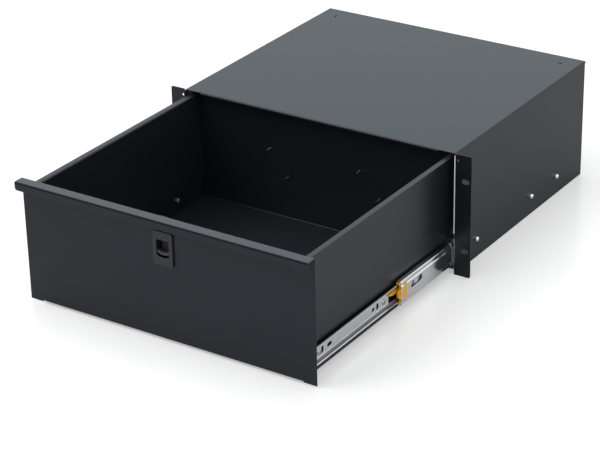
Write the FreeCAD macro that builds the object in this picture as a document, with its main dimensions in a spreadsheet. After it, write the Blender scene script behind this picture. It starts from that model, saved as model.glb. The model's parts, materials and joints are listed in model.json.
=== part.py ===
"""Sliding rack drawer: a 4U sheet-steel sleeve with a drawer on telescopic ball slides.

Millimetres. +X to the right seen from the front, +Y to the back, +Z up. The origin is the centre of the
four rack slots, on the rear face of the ears. The drawer is modelled pulled out by the size "opening".
"""

import FreeCAD
import Part
import Sketcher
import math
import os

DOCUMENT = FreeCAD.newDocument("RackDrawer")
SHEET = DOCUMENT.addObject("Spreadsheet::Sheet", "Sizes")
PIECES = []


class Size:
    """A length or angle: its value now, and the sheet expression that keeps it bound."""

    def __init__(self, value, text):
        self.value = float(value)
        self.text = text

    def __add__(self, other):
        other = as_size(other)
        return Size(self.value + other.value, f"({self.text} + {other.text})")

    def __sub__(self, other):
        other = as_size(other)
        return Size(self.value - other.value, f"({self.text} - {other.text})")

    def __mul__(self, other):
        other = as_size(other)
        return Size(self.value * other.value, f"({self.text} * {other.text})")

    def __truediv__(self, other):
        other = as_size(other)
        return Size(self.value / other.value, f"({self.text} / {other.text})")

    def __neg__(self):
        return Size(-self.value, f"(0 - {self.text})")

    def __radd__(self, other):
        return as_size(other) + self

    def __rsub__(self, other):
        return as_size(other) - self

    def __rmul__(self, other):
        return as_size(other) * self


def as_size(number):
    """Wraps a plain number as a Size."""
    if isinstance(number, Size):
        return number
    return Size(number, repr(round(float(number), 9)))


def driving(name, value):
    """Writes one driving dimension as a row of the sheet and returns it as a Size."""
    row = driving.row
    driving.row += 1
    SHEET.set(f"A{row}", name)
    SHEET.set(f"B{row}", str(value))
    SHEET.setAlias(f"B{row}", name)
    return Size(value, f"Sizes.{name}")


driving.row = 1

# ---------------------------------------------------------------- sizes

# sleeve
EAR_WIDTH = 482.6  # across the ears, the 19 inch rack width
EAR_HEIGHT = 177.0  # 4 rack units less the usual clearance
EAR_CORNER = 3.0  # corner radius of an ear
SLOT_ACROSS = 465.1  # between slot centres, across
SLOT_UP = 101.6  # between slot centres, up
SLOT_LENGTH = 10.6  # overall length of a rack slot
SLOT_HEIGHT = 7.0  # height of a rack slot
RELIEF_HOLE = 3.4  # diameter of the bend relief hole in an ear
RELIEF_DROP = 9.2  # relief hole below the ear's top edge
RELIEF_OUT = 3.6  # relief hole outward of the side wall
SHELL_WIDTH = 435.0  # outer width of the sleeve
SHELL_DEPTH = 378.0  # from the ears' front face to the rear edge
SHELL_SHEET = 1.5  # sheet thickness of the sleeve
SHELL_BEND = 1.0  # inside bend radius of the sleeve
HEM_DROP = 4.5  # height of the down-turned hem under the top's front edge
HEM_INSET = 26.0  # hem end inward of the side wall
REAR_FLANGE = 12.0  # width of the flanges around the rear opening
REAR_CORNER_GAP = 14.0  # open corner between the rear flanges
TOP_HOLE = 5.0  # diameter of the two holes in the top
TOP_HOLE_INSET = 28.5  # top hole inward of the side wall
TOP_HOLE_FROM_REAR = 26.0  # top hole forward of the rear edge
TIE_DEPTH = 23.0  # flat of the rear tie bar
TIE_HEIGHT = 18.0  # upright leg of the rear tie bar
TIE_TAB = 14.0  # height of the tie bar's weld tabs

# telescopic slides: u runs from the drawer's side to the sleeve, v runs up from the slide's middle
SLIDE_THICKNESS = 12.7  # thickness of a slide
SLIDE_UP = 28.3  # slide's middle above the ears' bottom edge
SLIDE_LENGTH = 350.0  # length of the outer and inner members
SLIDE_SETBACK = 3.0  # outer member behind the ears' front face
SLIDE_SHEET = 1.2  # sheet thickness of the members
OUTER_HEIGHT = 45.5  # height of the outer member
OUTER_LIP_FROM = 1.6  # outer member's lip, from the drawer's side
OUTER_LIP = 2.8  # height of the outer member's lip
OUTER_BEND = 1.2  # inside bend radius of the outer member
MIDDLE_HEIGHT = 34.8  # height of the middle member
MIDDLE_LENGTH = 300.0  # length of the middle member
MIDDLE_OUT = 132.5  # middle member's front end before the ears' rear face
MIDDLE_LIP_FROM = 2.2  # middle member's lip, from the drawer's side
MIDDLE_LIP = 2.2  # height of the middle member's lip
MIDDLE_BEND = 0.6  # inside bend radius of the middle member
MIDDLE_FACE = 9.4  # margin of the middle member's web, from the drawer's side
MIDDLE_STEP = 1.0  # rise of the band along the middle member's web
MIDDLE_BAND = 20.0  # height of that band
HOOK_FROM = 24.6  # hook opening behind the middle member's front end
HOOK_BULB = 7.0  # length of the hook's rounded foot
HOOK_ARM = 5.0  # length of the hook's upright arm
HOOK_TONGUE = 10.4  # length of the sheared tongue between the hook's arms
HOOK_GATE = 10.8  # length of the hook's wide end
HOOK_HIGH = 7.3  # top of the hook above the slide's middle
HOOK_LOW = 1.7  # bottom of the hook below the slide's middle
HOOK_CHANNEL = 2.7  # height of the channel under the tongue
HOOK_CORNER = 1.2  # corner radius of the hook
INNER_HEIGHT = 25.8  # height of the inner member
INNER_REACH = 5.8  # depth of the inner member's channel
INNER_BEND = 3.0  # inside bend radius of the inner member, its ball track
INNER_SETBACK = 2.7  # inner member's front end behind the drawer front
WEB_SLOT = 5.2  # length of the upright slots in the inner member's web
WEB_SLOT_HEIGHT = 9.6  # height of those slots
FRONT_SLOT_AT = 41.4  # front upright slot behind the drawer front
BACK_SLOT_AT = 171.4  # back upright slot behind the drawer front
WEB_OVAL_HEIGHT = 5.2  # height of the ovals in the inner member's web
FRONT_OVAL = 10.6  # length of the front oval
FRONT_OVAL_AT = 57.8  # front oval behind the drawer front
BACK_OVAL = 6.2  # length of the back oval
BACK_OVAL_AT = 161.2  # back oval behind the drawer front

# balls and cages
OUTER_BALL = 3.5  # diameter of the outer balls
OUTER_BALL_AT = 6.6  # outer balls' middle, from the drawer's side
OUTER_CAGE_SHEET = 0.5  # sheet thickness of the outer cage
OUTER_CAGE_CLEAR = 0.3  # outer cage clear of the outer member's web
OUTER_CAGE_TIP = 4.4  # outer cage's edge, from the drawer's side
OUTER_CAGE_FRONT = 15.0  # outer cage's front end
OUTER_CAGE_LENGTH = 140.0  # length of the outer cage
INNER_BALL = 2.7  # diameter of the inner balls
INNER_BALL_AT = 4.7  # inner balls' middle, from the drawer's side
INNER_CAGE_SHEET = 0.6  # sheet thickness of the inner cage
INNER_CAGE_CLEAR = 0.5  # inner cage clear of the middle member's web
INNER_CAGE_TIP = 2.9  # inner cage's edge, from the drawer's side
INNER_CAGE_FRONT = -113.0  # inner cage's front end
INNER_CAGE_LENGTH = 108.0  # length of the inner cage
POCKET_CLEAR = 0.1  # ball pocket larger than the ball, on the radius
CAGE_END = 8.0  # first ball from the end of its cage

# drawer
OPENING = 346.5  # how far the drawer is pulled out here
CLOSED_GAP = 0.7  # drawer front clear of the ears when shut
FRONT_WIDTH = 447.0  # width of the drawer front
FRONT_SHEET = 1.5  # sheet thickness of the drawer front
FRONT_BEND = 0.8  # inside bend radius of the drawer front
FRONT_FOOT = 2.4  # drawer front's lowest edge above the ears' bottom edge
FRONT_RETURN_LIFT = 0.6  # folded bottom edge above the corner tabs
FRONT_RETURN_INSET = 19.5  # width of a corner tab
FRONT_RETURN = 8.0  # depth of the folded bottom edge
FRONT_NOTCH = 5.0  # height of the notch that frees the folded edge
PULL_DEPTH = 15.2  # pull lip forward of the drawer front
PULL_DROP = 12.0  # height of the pull lip's down-turned face
PULL_CORNER = 4.0  # radius of the pull lip's lower corners
TRAY_SHEET = 1.2  # sheet thickness of the tray
TRAY_BEND = 1.0  # inside bend radius of the tray
TRAY_FOOT = 4.3  # tray's lower edge above the ears' bottom edge
TRAY_RIM_UP = 170.0  # tray's rim above the ears' bottom edge
TRAY_RIM = 7.7  # width of the rim outward of the tray's side
TRAY_DEPTH = 363.7  # outside depth of the tray
FLOOR_LIFT = 6.1  # top of the floor above the tray's lower edge
BACK_RIM = 5.0  # depth of the rim behind the tray's back
SIDE_PAST_BACK = 6.0  # sides run on behind the tray's back
SIDE_NOTCH = 9.0  # notch at a side's lower front corner, along the side
SIDE_NOTCH_UP = 3.0  # height of that notch
KNOCKOUT = 48.0  # diameter of a cable knockout
KNOCKOUT_ACROSS = 147.0  # between the knockouts' centres
KNOCKOUT_UP = 90.0  # knockouts' centres above the ears' bottom edge
KNOCKOUT_GAP = 0.2  # sheared gap round a knockout
KNOCKOUT_TIE = 2.4  # width of the ties that hold a knockout

# fasteners
SCREW_THREAD = 4.0  # thread diameter of the slide screws and studs
SCREW_HEAD = 7.6  # head diameter of the slide screws
SCREW_HEAD_HEIGHT = 4.6  # head height of the screws on the sleeve
CHANNEL_HEAD_HEIGHT = 1.8  # head height of the screws in the channel
HOLE_CLEAR = 0.05  # screw hole larger than the thread, on the radius
RECESS_ACROSS = 4.0  # cross recess, tip to tip
RECESS_WIDTH = 0.9  # width of the cross recess's arms
RECESS_DEPTH = 1.1  # depth of the cross recess
NUT_ACROSS = 7.0  # across the flats of the nuts
NUT_HEIGHT = 2.4  # height of the nuts
THREAD_PAST_NUT = 0.8  # thread standing past a nut
STUD_ACROSS = 300.0  # between the drawer front's studs, across
STUD_UP = 110.0  # between the drawer front's studs, up

# slam latch
LATCH_UP = 132.6  # latch's middle above the ears' bottom edge
BEZEL_WIDTH = 30.0  # width of the latch bezel
BEZEL_HEIGHT = 47.0  # height of the latch bezel
BEZEL_PROUD = 2.8  # bezel proud of the drawer front
BEZEL_WALL = 1.4  # bezel's wall in front of the trigger
BEZEL_CORNER = 2.5  # corner radius of the bezel
WINDOW_WIDTH = 19.2  # width of the finger window
WINDOW_HEIGHT = 21.2  # height of the finger window
WINDOW_CORNER = 1.6  # corner radius of the window
WINDOW_UP = 1.2  # window's middle above the latch's middle
WINDOW_SAG = 2.5  # sag of the window's rounded bottom edge
HOUSING_WIDTH = 24.0  # width of the latch housing behind the bezel
HOUSING_HEIGHT = 38.0  # height of the latch housing behind the bezel
HOUSING_DEPTH = 13.5  # depth of the latch housing behind the drawer front
HOUSING_WALL = 1.6  # wall of the latch housing
HOUSING_CLEAR = 0.3  # cut-out larger than the housing, each side
BOLT_WIDTH = 12.0  # width of the latch bolt
BOLT_DEPTH = 6.0  # depth of the latch bolt, front to back
BOLT_CLEAR = 0.3  # bolt clear of its guide and of the hem
BOLT_TOP_CLEAR = 0.8  # bolt's tip below the sleeve's top sheet
BOLT_BEVEL = 4.6  # height of the bevel that the hem pushes down
TRIGGER_DROP = 2.6  # trigger's top edge below the latch's middle
TRIGGER_HEIGHT = 6.8  # height of the trigger
TRIGGER_PAD = 4.3  # height of the trigger's finger pad, measured on its edge
SPRING_WIRE = 0.6  # wire diameter of the latch spring
SPRING_RADIUS = 1.9  # coil radius of the latch spring
SPRING_TURNS = 5.0  # turns of the latch spring
LATCH_SCREW = 2.4  # thread diameter of the latch screws
LATCH_SCREW_IN = 2.1  # latch screws inward of the bezel's top and bottom
LATCH_SCREW_OUT = 10.0  # latch screws from the latch's middle line
BACK_PLATE = 1.0  # thickness of the latch's back plate

# release levers and end clips
LEVER_PIVOT_BACK = 121.0  # lever's pivot before the ears' rear face
LEVER_PIVOT_UP = 3.2  # lever's pivot above the slide's middle
LEVER_REACH = 32.0  # from the pivot to the lever's tip
LEVER_TAIL = 3.4  # radius of the lever's eye
LEVER_NOSE = 1.6  # lever's blunt tip above the pivot
GATE_LENGTH = 25.0  # length of the lever's opening in the inner member
GATE_CORNER = 1.2  # corner radius of that opening
LEVER_SHEET = 2.0  # thickness of the lever
LEVER_GAP = 0.3  # lever off the inner member's web
LEVER_PIN = 1.5  # radius of the lever's rivet
LEVER_PIN_CLEAR = 0.06  # running clearance on the rivet
CLIP_REACH = 6.0  # end clip's loop forward of the middle member's end
CLIP_HORN = 2.6  # end clip's horns forward of the middle member's end
CLIP_HORN_HEIGHT = 2.4  # height of a horn
CLIP_LOOP = 15.0  # height of the end clip's loop
CLIP_SLIT = 1.2  # height of the slit that lets the loop spring
CLIP_TAIL = 16.0  # end clip back from the middle member's end
CLIP_WALL = 1.6  # thickness of the end clip's plate
CLIP_CLEAR = 0.3  # end clip clear of the inner member
CLIP_WINDOW = 6.4  # length of the clip window in the web
CLIP_SWELL = 4.4  # the window's swelling towards the front end
CLIP_SWELL_HEIGHT = 11.6  # height of that swelling
CLIP_CORNER = 1.3  # corner radius of the clip window
CLIP_WINDOW_HEIGHT = 24.6  # height of the clip window
CLIP_BRIDGE = 2.8  # web left before the clip window
BUMPER_LENGTH = 6.0  # length of the rear bumper
BUMPER_HEIGHT = 22.0  # height of the rear bumper
BUMPER_DEPTH = 4.5  # thickness of the rear bumper
FIRST_SCREW = 59.2  # first sleeve screw behind the ears' front face
SECOND_SCREW = 217.3  # second sleeve screw
THIRD_SCREW = 295.0  # third sleeve screw
FIRST_CHANNEL_SCREW = 33.0  # first drawer screw behind the drawer front
SECOND_CHANNEL_SCREW = 186.0  # second drawer screw
THIRD_CHANNEL_SCREW = 297.5  # third drawer screw

# ---------------------------------------------------------------- driving dimensions

# sleeve
ear_width = driving("ear_width", EAR_WIDTH)
ear_height = driving("ear_height", EAR_HEIGHT)
ear_corner = driving("ear_corner", EAR_CORNER)
slot_across = driving("slot_across", SLOT_ACROSS)
slot_up = driving("slot_up", SLOT_UP)
slot_length = driving("slot_length", SLOT_LENGTH)
slot_height = driving("slot_height", SLOT_HEIGHT)
relief_hole = driving("relief_hole", RELIEF_HOLE)
relief_drop = driving("relief_drop", RELIEF_DROP)
relief_out = driving("relief_out", RELIEF_OUT)
shell_width = driving("shell_width", SHELL_WIDTH)
shell_depth = driving("shell_depth", SHELL_DEPTH)
shell_sheet = driving("shell_sheet", SHELL_SHEET)
shell_bend = driving("shell_bend", SHELL_BEND)
hem_drop = driving("hem_drop", HEM_DROP)
hem_inset = driving("hem_inset", HEM_INSET)
rear_flange = driving("rear_flange", REAR_FLANGE)
rear_corner_gap = driving("rear_corner_gap", REAR_CORNER_GAP)
top_hole = driving("top_hole", TOP_HOLE)
top_hole_inset = driving("top_hole_inset", TOP_HOLE_INSET)
top_hole_from_rear = driving("top_hole_from_rear", TOP_HOLE_FROM_REAR)
tie_depth = driving("tie_depth", TIE_DEPTH)
tie_height = driving("tie_height", TIE_HEIGHT)
tie_tab = driving("tie_tab", TIE_TAB)

# telescopic slides: u runs from the drawer's side to the sleeve, v runs up from the slide's middle
slide_thickness = driving("slide_thickness", SLIDE_THICKNESS)
slide_up = driving("slide_up", SLIDE_UP)
slide_length = driving("slide_length", SLIDE_LENGTH)
slide_setback = driving("slide_setback", SLIDE_SETBACK)
slide_sheet = driving("slide_sheet", SLIDE_SHEET)
outer_height = driving("outer_height", OUTER_HEIGHT)
outer_lip_from = driving("outer_lip_from", OUTER_LIP_FROM)
outer_lip = driving("outer_lip", OUTER_LIP)
outer_bend = driving("outer_bend", OUTER_BEND)
middle_height = driving("middle_height", MIDDLE_HEIGHT)
middle_length = driving("middle_length", MIDDLE_LENGTH)
middle_out = driving("middle_out", MIDDLE_OUT)
middle_lip_from = driving("middle_lip_from", MIDDLE_LIP_FROM)
middle_lip = driving("middle_lip", MIDDLE_LIP)
middle_bend = driving("middle_bend", MIDDLE_BEND)
middle_face = driving("middle_face", MIDDLE_FACE)
middle_step = driving("middle_step", MIDDLE_STEP)
middle_band = driving("middle_band", MIDDLE_BAND)
hook_from = driving("hook_from", HOOK_FROM)
hook_bulb = driving("hook_bulb", HOOK_BULB)
hook_arm = driving("hook_arm", HOOK_ARM)
hook_tongue = driving("hook_tongue", HOOK_TONGUE)
hook_gate = driving("hook_gate", HOOK_GATE)
hook_high = driving("hook_high", HOOK_HIGH)
hook_low = driving("hook_low", HOOK_LOW)
hook_channel = driving("hook_channel", HOOK_CHANNEL)
hook_corner = driving("hook_corner", HOOK_CORNER)
inner_height = driving("inner_height", INNER_HEIGHT)
inner_reach = driving("inner_reach", INNER_REACH)
inner_bend = driving("inner_bend", INNER_BEND)
inner_setback = driving("inner_setback", INNER_SETBACK)
web_slot = driving("web_slot", WEB_SLOT)
web_slot_height = driving("web_slot_height", WEB_SLOT_HEIGHT)
front_slot_at = driving("front_slot_at", FRONT_SLOT_AT)
back_slot_at = driving("back_slot_at", BACK_SLOT_AT)
web_oval_height = driving("web_oval_height", WEB_OVAL_HEIGHT)
front_oval = driving("front_oval", FRONT_OVAL)
front_oval_at = driving("front_oval_at", FRONT_OVAL_AT)
back_oval = driving("back_oval", BACK_OVAL)
back_oval_at = driving("back_oval_at", BACK_OVAL_AT)

# balls and cages
outer_ball = driving("outer_ball", OUTER_BALL)
outer_ball_at = driving("outer_ball_at", OUTER_BALL_AT)
outer_cage_sheet = driving("outer_cage_sheet", OUTER_CAGE_SHEET)
outer_cage_clear = driving("outer_cage_clear", OUTER_CAGE_CLEAR)
outer_cage_tip = driving("outer_cage_tip", OUTER_CAGE_TIP)
outer_cage_front = driving("outer_cage_front", OUTER_CAGE_FRONT)
outer_cage_length = driving("outer_cage_length", OUTER_CAGE_LENGTH)
inner_ball = driving("inner_ball", INNER_BALL)
inner_ball_at = driving("inner_ball_at", INNER_BALL_AT)
inner_cage_sheet = driving("inner_cage_sheet", INNER_CAGE_SHEET)
inner_cage_clear = driving("inner_cage_clear", INNER_CAGE_CLEAR)
inner_cage_tip = driving("inner_cage_tip", INNER_CAGE_TIP)
inner_cage_front = driving("inner_cage_front", INNER_CAGE_FRONT)
inner_cage_length = driving("inner_cage_length", INNER_CAGE_LENGTH)
pocket_clear = driving("pocket_clear", POCKET_CLEAR)
cage_end = driving("cage_end", CAGE_END)

# drawer
opening = driving("opening", OPENING)
closed_gap = driving("closed_gap", CLOSED_GAP)
front_width = driving("front_width", FRONT_WIDTH)
front_sheet = driving("front_sheet", FRONT_SHEET)
front_bend = driving("front_bend", FRONT_BEND)
front_foot = driving("front_foot", FRONT_FOOT)
front_return_lift = driving("front_return_lift", FRONT_RETURN_LIFT)
front_return_inset = driving("front_return_inset", FRONT_RETURN_INSET)
front_return = driving("front_return", FRONT_RETURN)
front_notch = driving("front_notch", FRONT_NOTCH)
pull_depth = driving("pull_depth", PULL_DEPTH)
pull_drop = driving("pull_drop", PULL_DROP)
pull_corner = driving("pull_corner", PULL_CORNER)
tray_sheet = driving("tray_sheet", TRAY_SHEET)
tray_bend = driving("tray_bend", TRAY_BEND)
tray_foot = driving("tray_foot", TRAY_FOOT)
tray_rim_up = driving("tray_rim_up", TRAY_RIM_UP)
tray_rim = driving("tray_rim", TRAY_RIM)
tray_depth = driving("tray_depth", TRAY_DEPTH)
floor_lift = driving("floor_lift", FLOOR_LIFT)
back_rim = driving("back_rim", BACK_RIM)
side_past_back = driving("side_past_back", SIDE_PAST_BACK)
side_notch = driving("side_notch", SIDE_NOTCH)
side_notch_up = driving("side_notch_up", SIDE_NOTCH_UP)
knockout = driving("knockout", KNOCKOUT)
knockout_across = driving("knockout_across", KNOCKOUT_ACROSS)
knockout_up = driving("knockout_up", KNOCKOUT_UP)
knockout_gap = driving("knockout_gap", KNOCKOUT_GAP)
knockout_tie = driving("knockout_tie", KNOCKOUT_TIE)

# fasteners
screw_thread = driving("screw_thread", SCREW_THREAD)
screw_head = driving("screw_head", SCREW_HEAD)
screw_head_height = driving("screw_head_height", SCREW_HEAD_HEIGHT)
channel_head_height = driving("channel_head_height", CHANNEL_HEAD_HEIGHT)
hole_clear = driving("hole_clear", HOLE_CLEAR)
recess_across = driving("recess_across", RECESS_ACROSS)
recess_width = driving("recess_width", RECESS_WIDTH)
recess_depth = driving("recess_depth", RECESS_DEPTH)
nut_across = driving("nut_across", NUT_ACROSS)
nut_height = driving("nut_height", NUT_HEIGHT)
thread_past_nut = driving("thread_past_nut", THREAD_PAST_NUT)
stud_across = driving("stud_across", STUD_ACROSS)
stud_up = driving("stud_up", STUD_UP)

# slam latch
latch_up = driving("latch_up", LATCH_UP)
bezel_width = driving("bezel_width", BEZEL_WIDTH)
bezel_height = driving("bezel_height", BEZEL_HEIGHT)
bezel_proud = driving("bezel_proud", BEZEL_PROUD)
bezel_wall = driving("bezel_wall", BEZEL_WALL)
bezel_corner = driving("bezel_corner", BEZEL_CORNER)
window_width = driving("window_width", WINDOW_WIDTH)
window_height = driving("window_height", WINDOW_HEIGHT)
window_corner = driving("window_corner", WINDOW_CORNER)
window_up = driving("window_up", WINDOW_UP)
window_sag = driving("window_sag", WINDOW_SAG)
housing_width = driving("housing_width", HOUSING_WIDTH)
housing_height = driving("housing_height", HOUSING_HEIGHT)
housing_depth = driving("housing_depth", HOUSING_DEPTH)
housing_wall = driving("housing_wall", HOUSING_WALL)
housing_clear = driving("housing_clear", HOUSING_CLEAR)
bolt_width = driving("bolt_width", BOLT_WIDTH)
bolt_depth = driving("bolt_depth", BOLT_DEPTH)
bolt_clear = driving("bolt_clear", BOLT_CLEAR)
bolt_top_clear = driving("bolt_top_clear", BOLT_TOP_CLEAR)
bolt_bevel = driving("bolt_bevel", BOLT_BEVEL)
trigger_drop = driving("trigger_drop", TRIGGER_DROP)
trigger_height = driving("trigger_height", TRIGGER_HEIGHT)
trigger_pad = driving("trigger_pad", TRIGGER_PAD)
spring_wire = driving("spring_wire", SPRING_WIRE)
spring_radius = driving("spring_radius", SPRING_RADIUS)
spring_turns = driving("spring_turns", SPRING_TURNS)
latch_screw = driving("latch_screw", LATCH_SCREW)
latch_screw_in = driving("latch_screw_in", LATCH_SCREW_IN)
latch_screw_out = driving("latch_screw_out", LATCH_SCREW_OUT)
back_plate = driving("back_plate", BACK_PLATE)

# release levers and end clips
lever_pivot_back = driving("lever_pivot_back", LEVER_PIVOT_BACK)
lever_pivot_up = driving("lever_pivot_up", LEVER_PIVOT_UP)
lever_reach = driving("lever_reach", LEVER_REACH)
lever_tail = driving("lever_tail", LEVER_TAIL)
lever_nose = driving("lever_nose", LEVER_NOSE)
gate_length = driving("gate_length", GATE_LENGTH)
gate_corner = driving("gate_corner", GATE_CORNER)
lever_sheet = driving("lever_sheet", LEVER_SHEET)
lever_gap = driving("lever_gap", LEVER_GAP)
lever_pin = driving("lever_pin", LEVER_PIN)
lever_pin_clear = driving("lever_pin_clear", LEVER_PIN_CLEAR)
clip_reach = driving("clip_reach", CLIP_REACH)
clip_horn = driving("clip_horn", CLIP_HORN)
clip_horn_height = driving("clip_horn_height", CLIP_HORN_HEIGHT)
clip_loop = driving("clip_loop", CLIP_LOOP)
clip_slit = driving("clip_slit", CLIP_SLIT)
clip_tail = driving("clip_tail", CLIP_TAIL)
clip_wall = driving("clip_wall", CLIP_WALL)
clip_clear = driving("clip_clear", CLIP_CLEAR)
clip_window = driving("clip_window", CLIP_WINDOW)
clip_swell = driving("clip_swell", CLIP_SWELL)
clip_swell_height = driving("clip_swell_height", CLIP_SWELL_HEIGHT)
clip_corner = driving("clip_corner", CLIP_CORNER)
clip_window_height = driving("clip_window_height", CLIP_WINDOW_HEIGHT)
clip_bridge = driving("clip_bridge", CLIP_BRIDGE)
bumper_length = driving("bumper_length", BUMPER_LENGTH)
bumper_height = driving("bumper_height", BUMPER_HEIGHT)
bumper_depth = driving("bumper_depth", BUMPER_DEPTH)

SCREW_BACK = (
    driving("first_screw", FIRST_SCREW),
    driving("second_screw", SECOND_SCREW),
    driving("third_screw", THIRD_SCREW),
)
CHANNEL_SCREW_BACK = (
    driving("first_channel_screw", FIRST_CHANNEL_SCREW),
    driving("second_channel_screw", SECOND_CHANNEL_SCREW),
    driving("third_channel_screw", THIRD_CHANNEL_SCREW),
)
DOCUMENT.recompute()

# ---------------------------------------------------------------- places worked out from them

half_ear = ear_height / 2
ear_front = -shell_sheet
shell_half = shell_width / 2
shell_inner = shell_half - shell_sheet
shell_back = ear_front + shell_depth
top_under = half_ear - shell_sheet
hem_bottom = half_ear - hem_drop
hem_half = shell_half - hem_inset

tray_half = shell_inner - slide_thickness
tray_inner = tray_half - tray_sheet
slide_z = slide_up - half_ear
outer_front = ear_front + slide_setback
outer_back = outer_front + slide_length
screw_places = [ear_front + back for back in SCREW_BACK]

front_back_face = ear_front - closed_gap - opening
front_face = front_back_face - front_sheet
front_half = front_width / 2
front_low = front_foot - half_ear
return_low = front_low + front_return_lift
return_half = front_half - front_return_inset
wall_back = front_back_face + tray_sheet
tray_low = tray_foot - half_ear
rim_top = tray_rim_up - half_ear
floor_top = tray_low + floor_lift
tray_back = front_back_face + tray_depth
knockout_z = knockout_up - half_ear
inner_front = front_back_face + inner_setback
channel_places = [front_back_face + back for back in CHANNEL_SCREW_BACK]

middle_front = -middle_out
outer_track = outer_height / 2 - slide_sheet
middle_track = middle_height / 2 - slide_sheet
outer_ball_v = (outer_track + middle_height / 2) / 2
inner_ball_v = (middle_track + inner_height / 2) / 2
outer_web = slide_thickness - slide_sheet

latch_z = latch_up - half_ear
window_z = latch_z + window_up
latch_back = front_back_face + housing_depth
bolt_front = front_back_face - ear_front + bolt_clear + closed_gap
bolt_back = bolt_front + bolt_depth
bolt_top = top_under - bolt_top_clear
trigger_top = latch_z - trigger_drop
trigger_bottom = trigger_top - trigger_height
cavity_bottom = latch_z - housing_height / 2 + housing_wall

lever_pivot_y = -lever_pivot_back
lever_pivot_z = slide_z + lever_pivot_up
lever_u = slide_sheet + lever_gap

# ---------------------------------------------------------------- how features are made


def start_body(label):
    """Starts a sub-part's body, which exports under its label."""
    body = DOCUMENT.addObject("PartDesign::Body", label)
    body.Label = label
    body.AllowCompound = True
    PIECES.append(body)
    return body


def origin_plane(body, role):
    """Finds an origin plane or axis of a body by its role."""
    return [feature for feature in body.Origin.OriginFeatures if feature.Role == role][0]


def place_on(feature, body, plane, at):
    """Attaches a feature to the body's own plane, its origin at the point at = (x, y, z)."""
    x, y, z = (as_size(value) for value in at)
    offsets = {"XY_Plane": (x, y, z), "XZ_Plane": (x, z, -y), "YZ_Plane": (y, z, x)}[plane]
    feature.AttachmentSupport = (origin_plane(body, plane), [""])
    feature.MapMode = "FlatFace"
    for axis, offset in zip("xyz", offsets):
        feature.setExpression(f"AttachmentOffset.Base.{axis}", offset.text)


def start_sketch(body, label, plane, at):
    """Starts a sketch parallel to one of the body's planes."""
    sketch = body.newObject("Sketcher::SketchObject", label)
    place_on(sketch, body, plane, at)
    return sketch


def dimension(sketch, kind, *geometry, size):
    """Adds a driving constraint and binds it to a size."""
    index = sketch.addConstraint(Sketcher.Constraint(kind, *geometry, size.value))
    sketch.setExpression(f"Constraints[{index}]", size.text)


def fix_point(sketch, element, position, across, up):
    """Holds a point of the sketch at its distances from the sketch's origin."""
    for kind, size in (("DistanceX", across), ("DistanceY", up)):
        dimension(sketch, kind, -1, 1, element, position, size=as_size(size))


def vector(across, up):
    return FreeCAD.Vector(across, up, 0)


def outline(sketch, corners):
    """Draws a closed outline through (across, up) or (across, up, radius) corners."""
    points = [vector(as_size(corner[0]).value, as_size(corner[1]).value) for corner in corners]
    rounds = [as_size(corner[2]) if len(corner) > 2 else None for corner in corners]
    count = len(corners)
    entries, leaves, arcs = [], [], []
    for index, point in enumerate(points):
        before = (points[index - 1] - point).normalize()
        after = (points[(index + 1) % count] - point).normalize()
        if rounds[index] is None:
            entries.append(point)
            leaves.append(point)
            arcs.append(None)
            continue
        radius = rounds[index].value
        half_angle = before.getAngle(after) / 2
        trim = radius / math.tan(half_angle)
        centre = point + (before + after).normalize() * (radius / math.sin(half_angle))
        entries.append(point + before * trim)
        leaves.append(point + after * trim)
        turns_left = before.cross(after).z < 0
        first, last = (entries[-1], leaves[-1]) if turns_left else (leaves[-1], entries[-1])
        angles = [math.atan2(end.y - centre.y, end.x - centre.x) for end in (first, last)]
        circle = Part.Circle(centre, FreeCAD.Vector(0, 0, 1), radius)
        arcs.append((Part.ArcOfCircle(circle, *angles), turns_left))
    lines = []
    for index in range(count):
        segment = Part.LineSegment(leaves[index], entries[(index + 1) % count])
        lines.append(sketch.addGeometry(segment, False))
    for index, corner in enumerate(corners):
        line_in, line_out = lines[index - 1], lines[index]
        if arcs[index] is None:
            sketch.addConstraint(Sketcher.Constraint("Coincident", line_in, 2, line_out, 1))
            fix_point(sketch, line_out, 1, corner[0], corner[1])
            continue
        arc_shape, turns_left = arcs[index]
        arc = sketch.addGeometry(arc_shape, False)
        arc_in, arc_out = (1, 2) if turns_left else (2, 1)
        sketch.addConstraint(Sketcher.Constraint("Tangent", line_in, 2, arc, arc_in))
        sketch.addConstraint(Sketcher.Constraint("Tangent", arc, arc_out, line_out, 1))
        dimension(sketch, "Radius", arc, size=rounds[index])
        apex = sketch.addGeometry(Part.Point(points[index]), True)
        sketch.addConstraint(Sketcher.Constraint("PointOnObject", apex, 1, line_in))
        sketch.addConstraint(Sketcher.Constraint("PointOnObject", apex, 1, line_out))
        fix_point(sketch, apex, 1, corner[0], corner[1])


def rectangle(sketch, left, low, right, high, radius=None):
    """Draws a rectangle, with rounded corners where a radius is given."""
    corners = [(left, low), (right, low), (right, high), (left, high)]
    outline(sketch, corners if radius is None else [(*corner, radius) for corner in corners])


def circle(sketch, across, up, radius):
    """Draws a circle of the given radius."""
    across, up, radius = as_size(across), as_size(up), as_size(radius)
    shape = Part.Circle(vector(across.value, up.value), FreeCAD.Vector(0, 0, 1), radius.value)
    element = sketch.addGeometry(shape, False)
    fix_point(sketch, element, 3, across, up)
    dimension(sketch, "Radius", element, size=radius)


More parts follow.
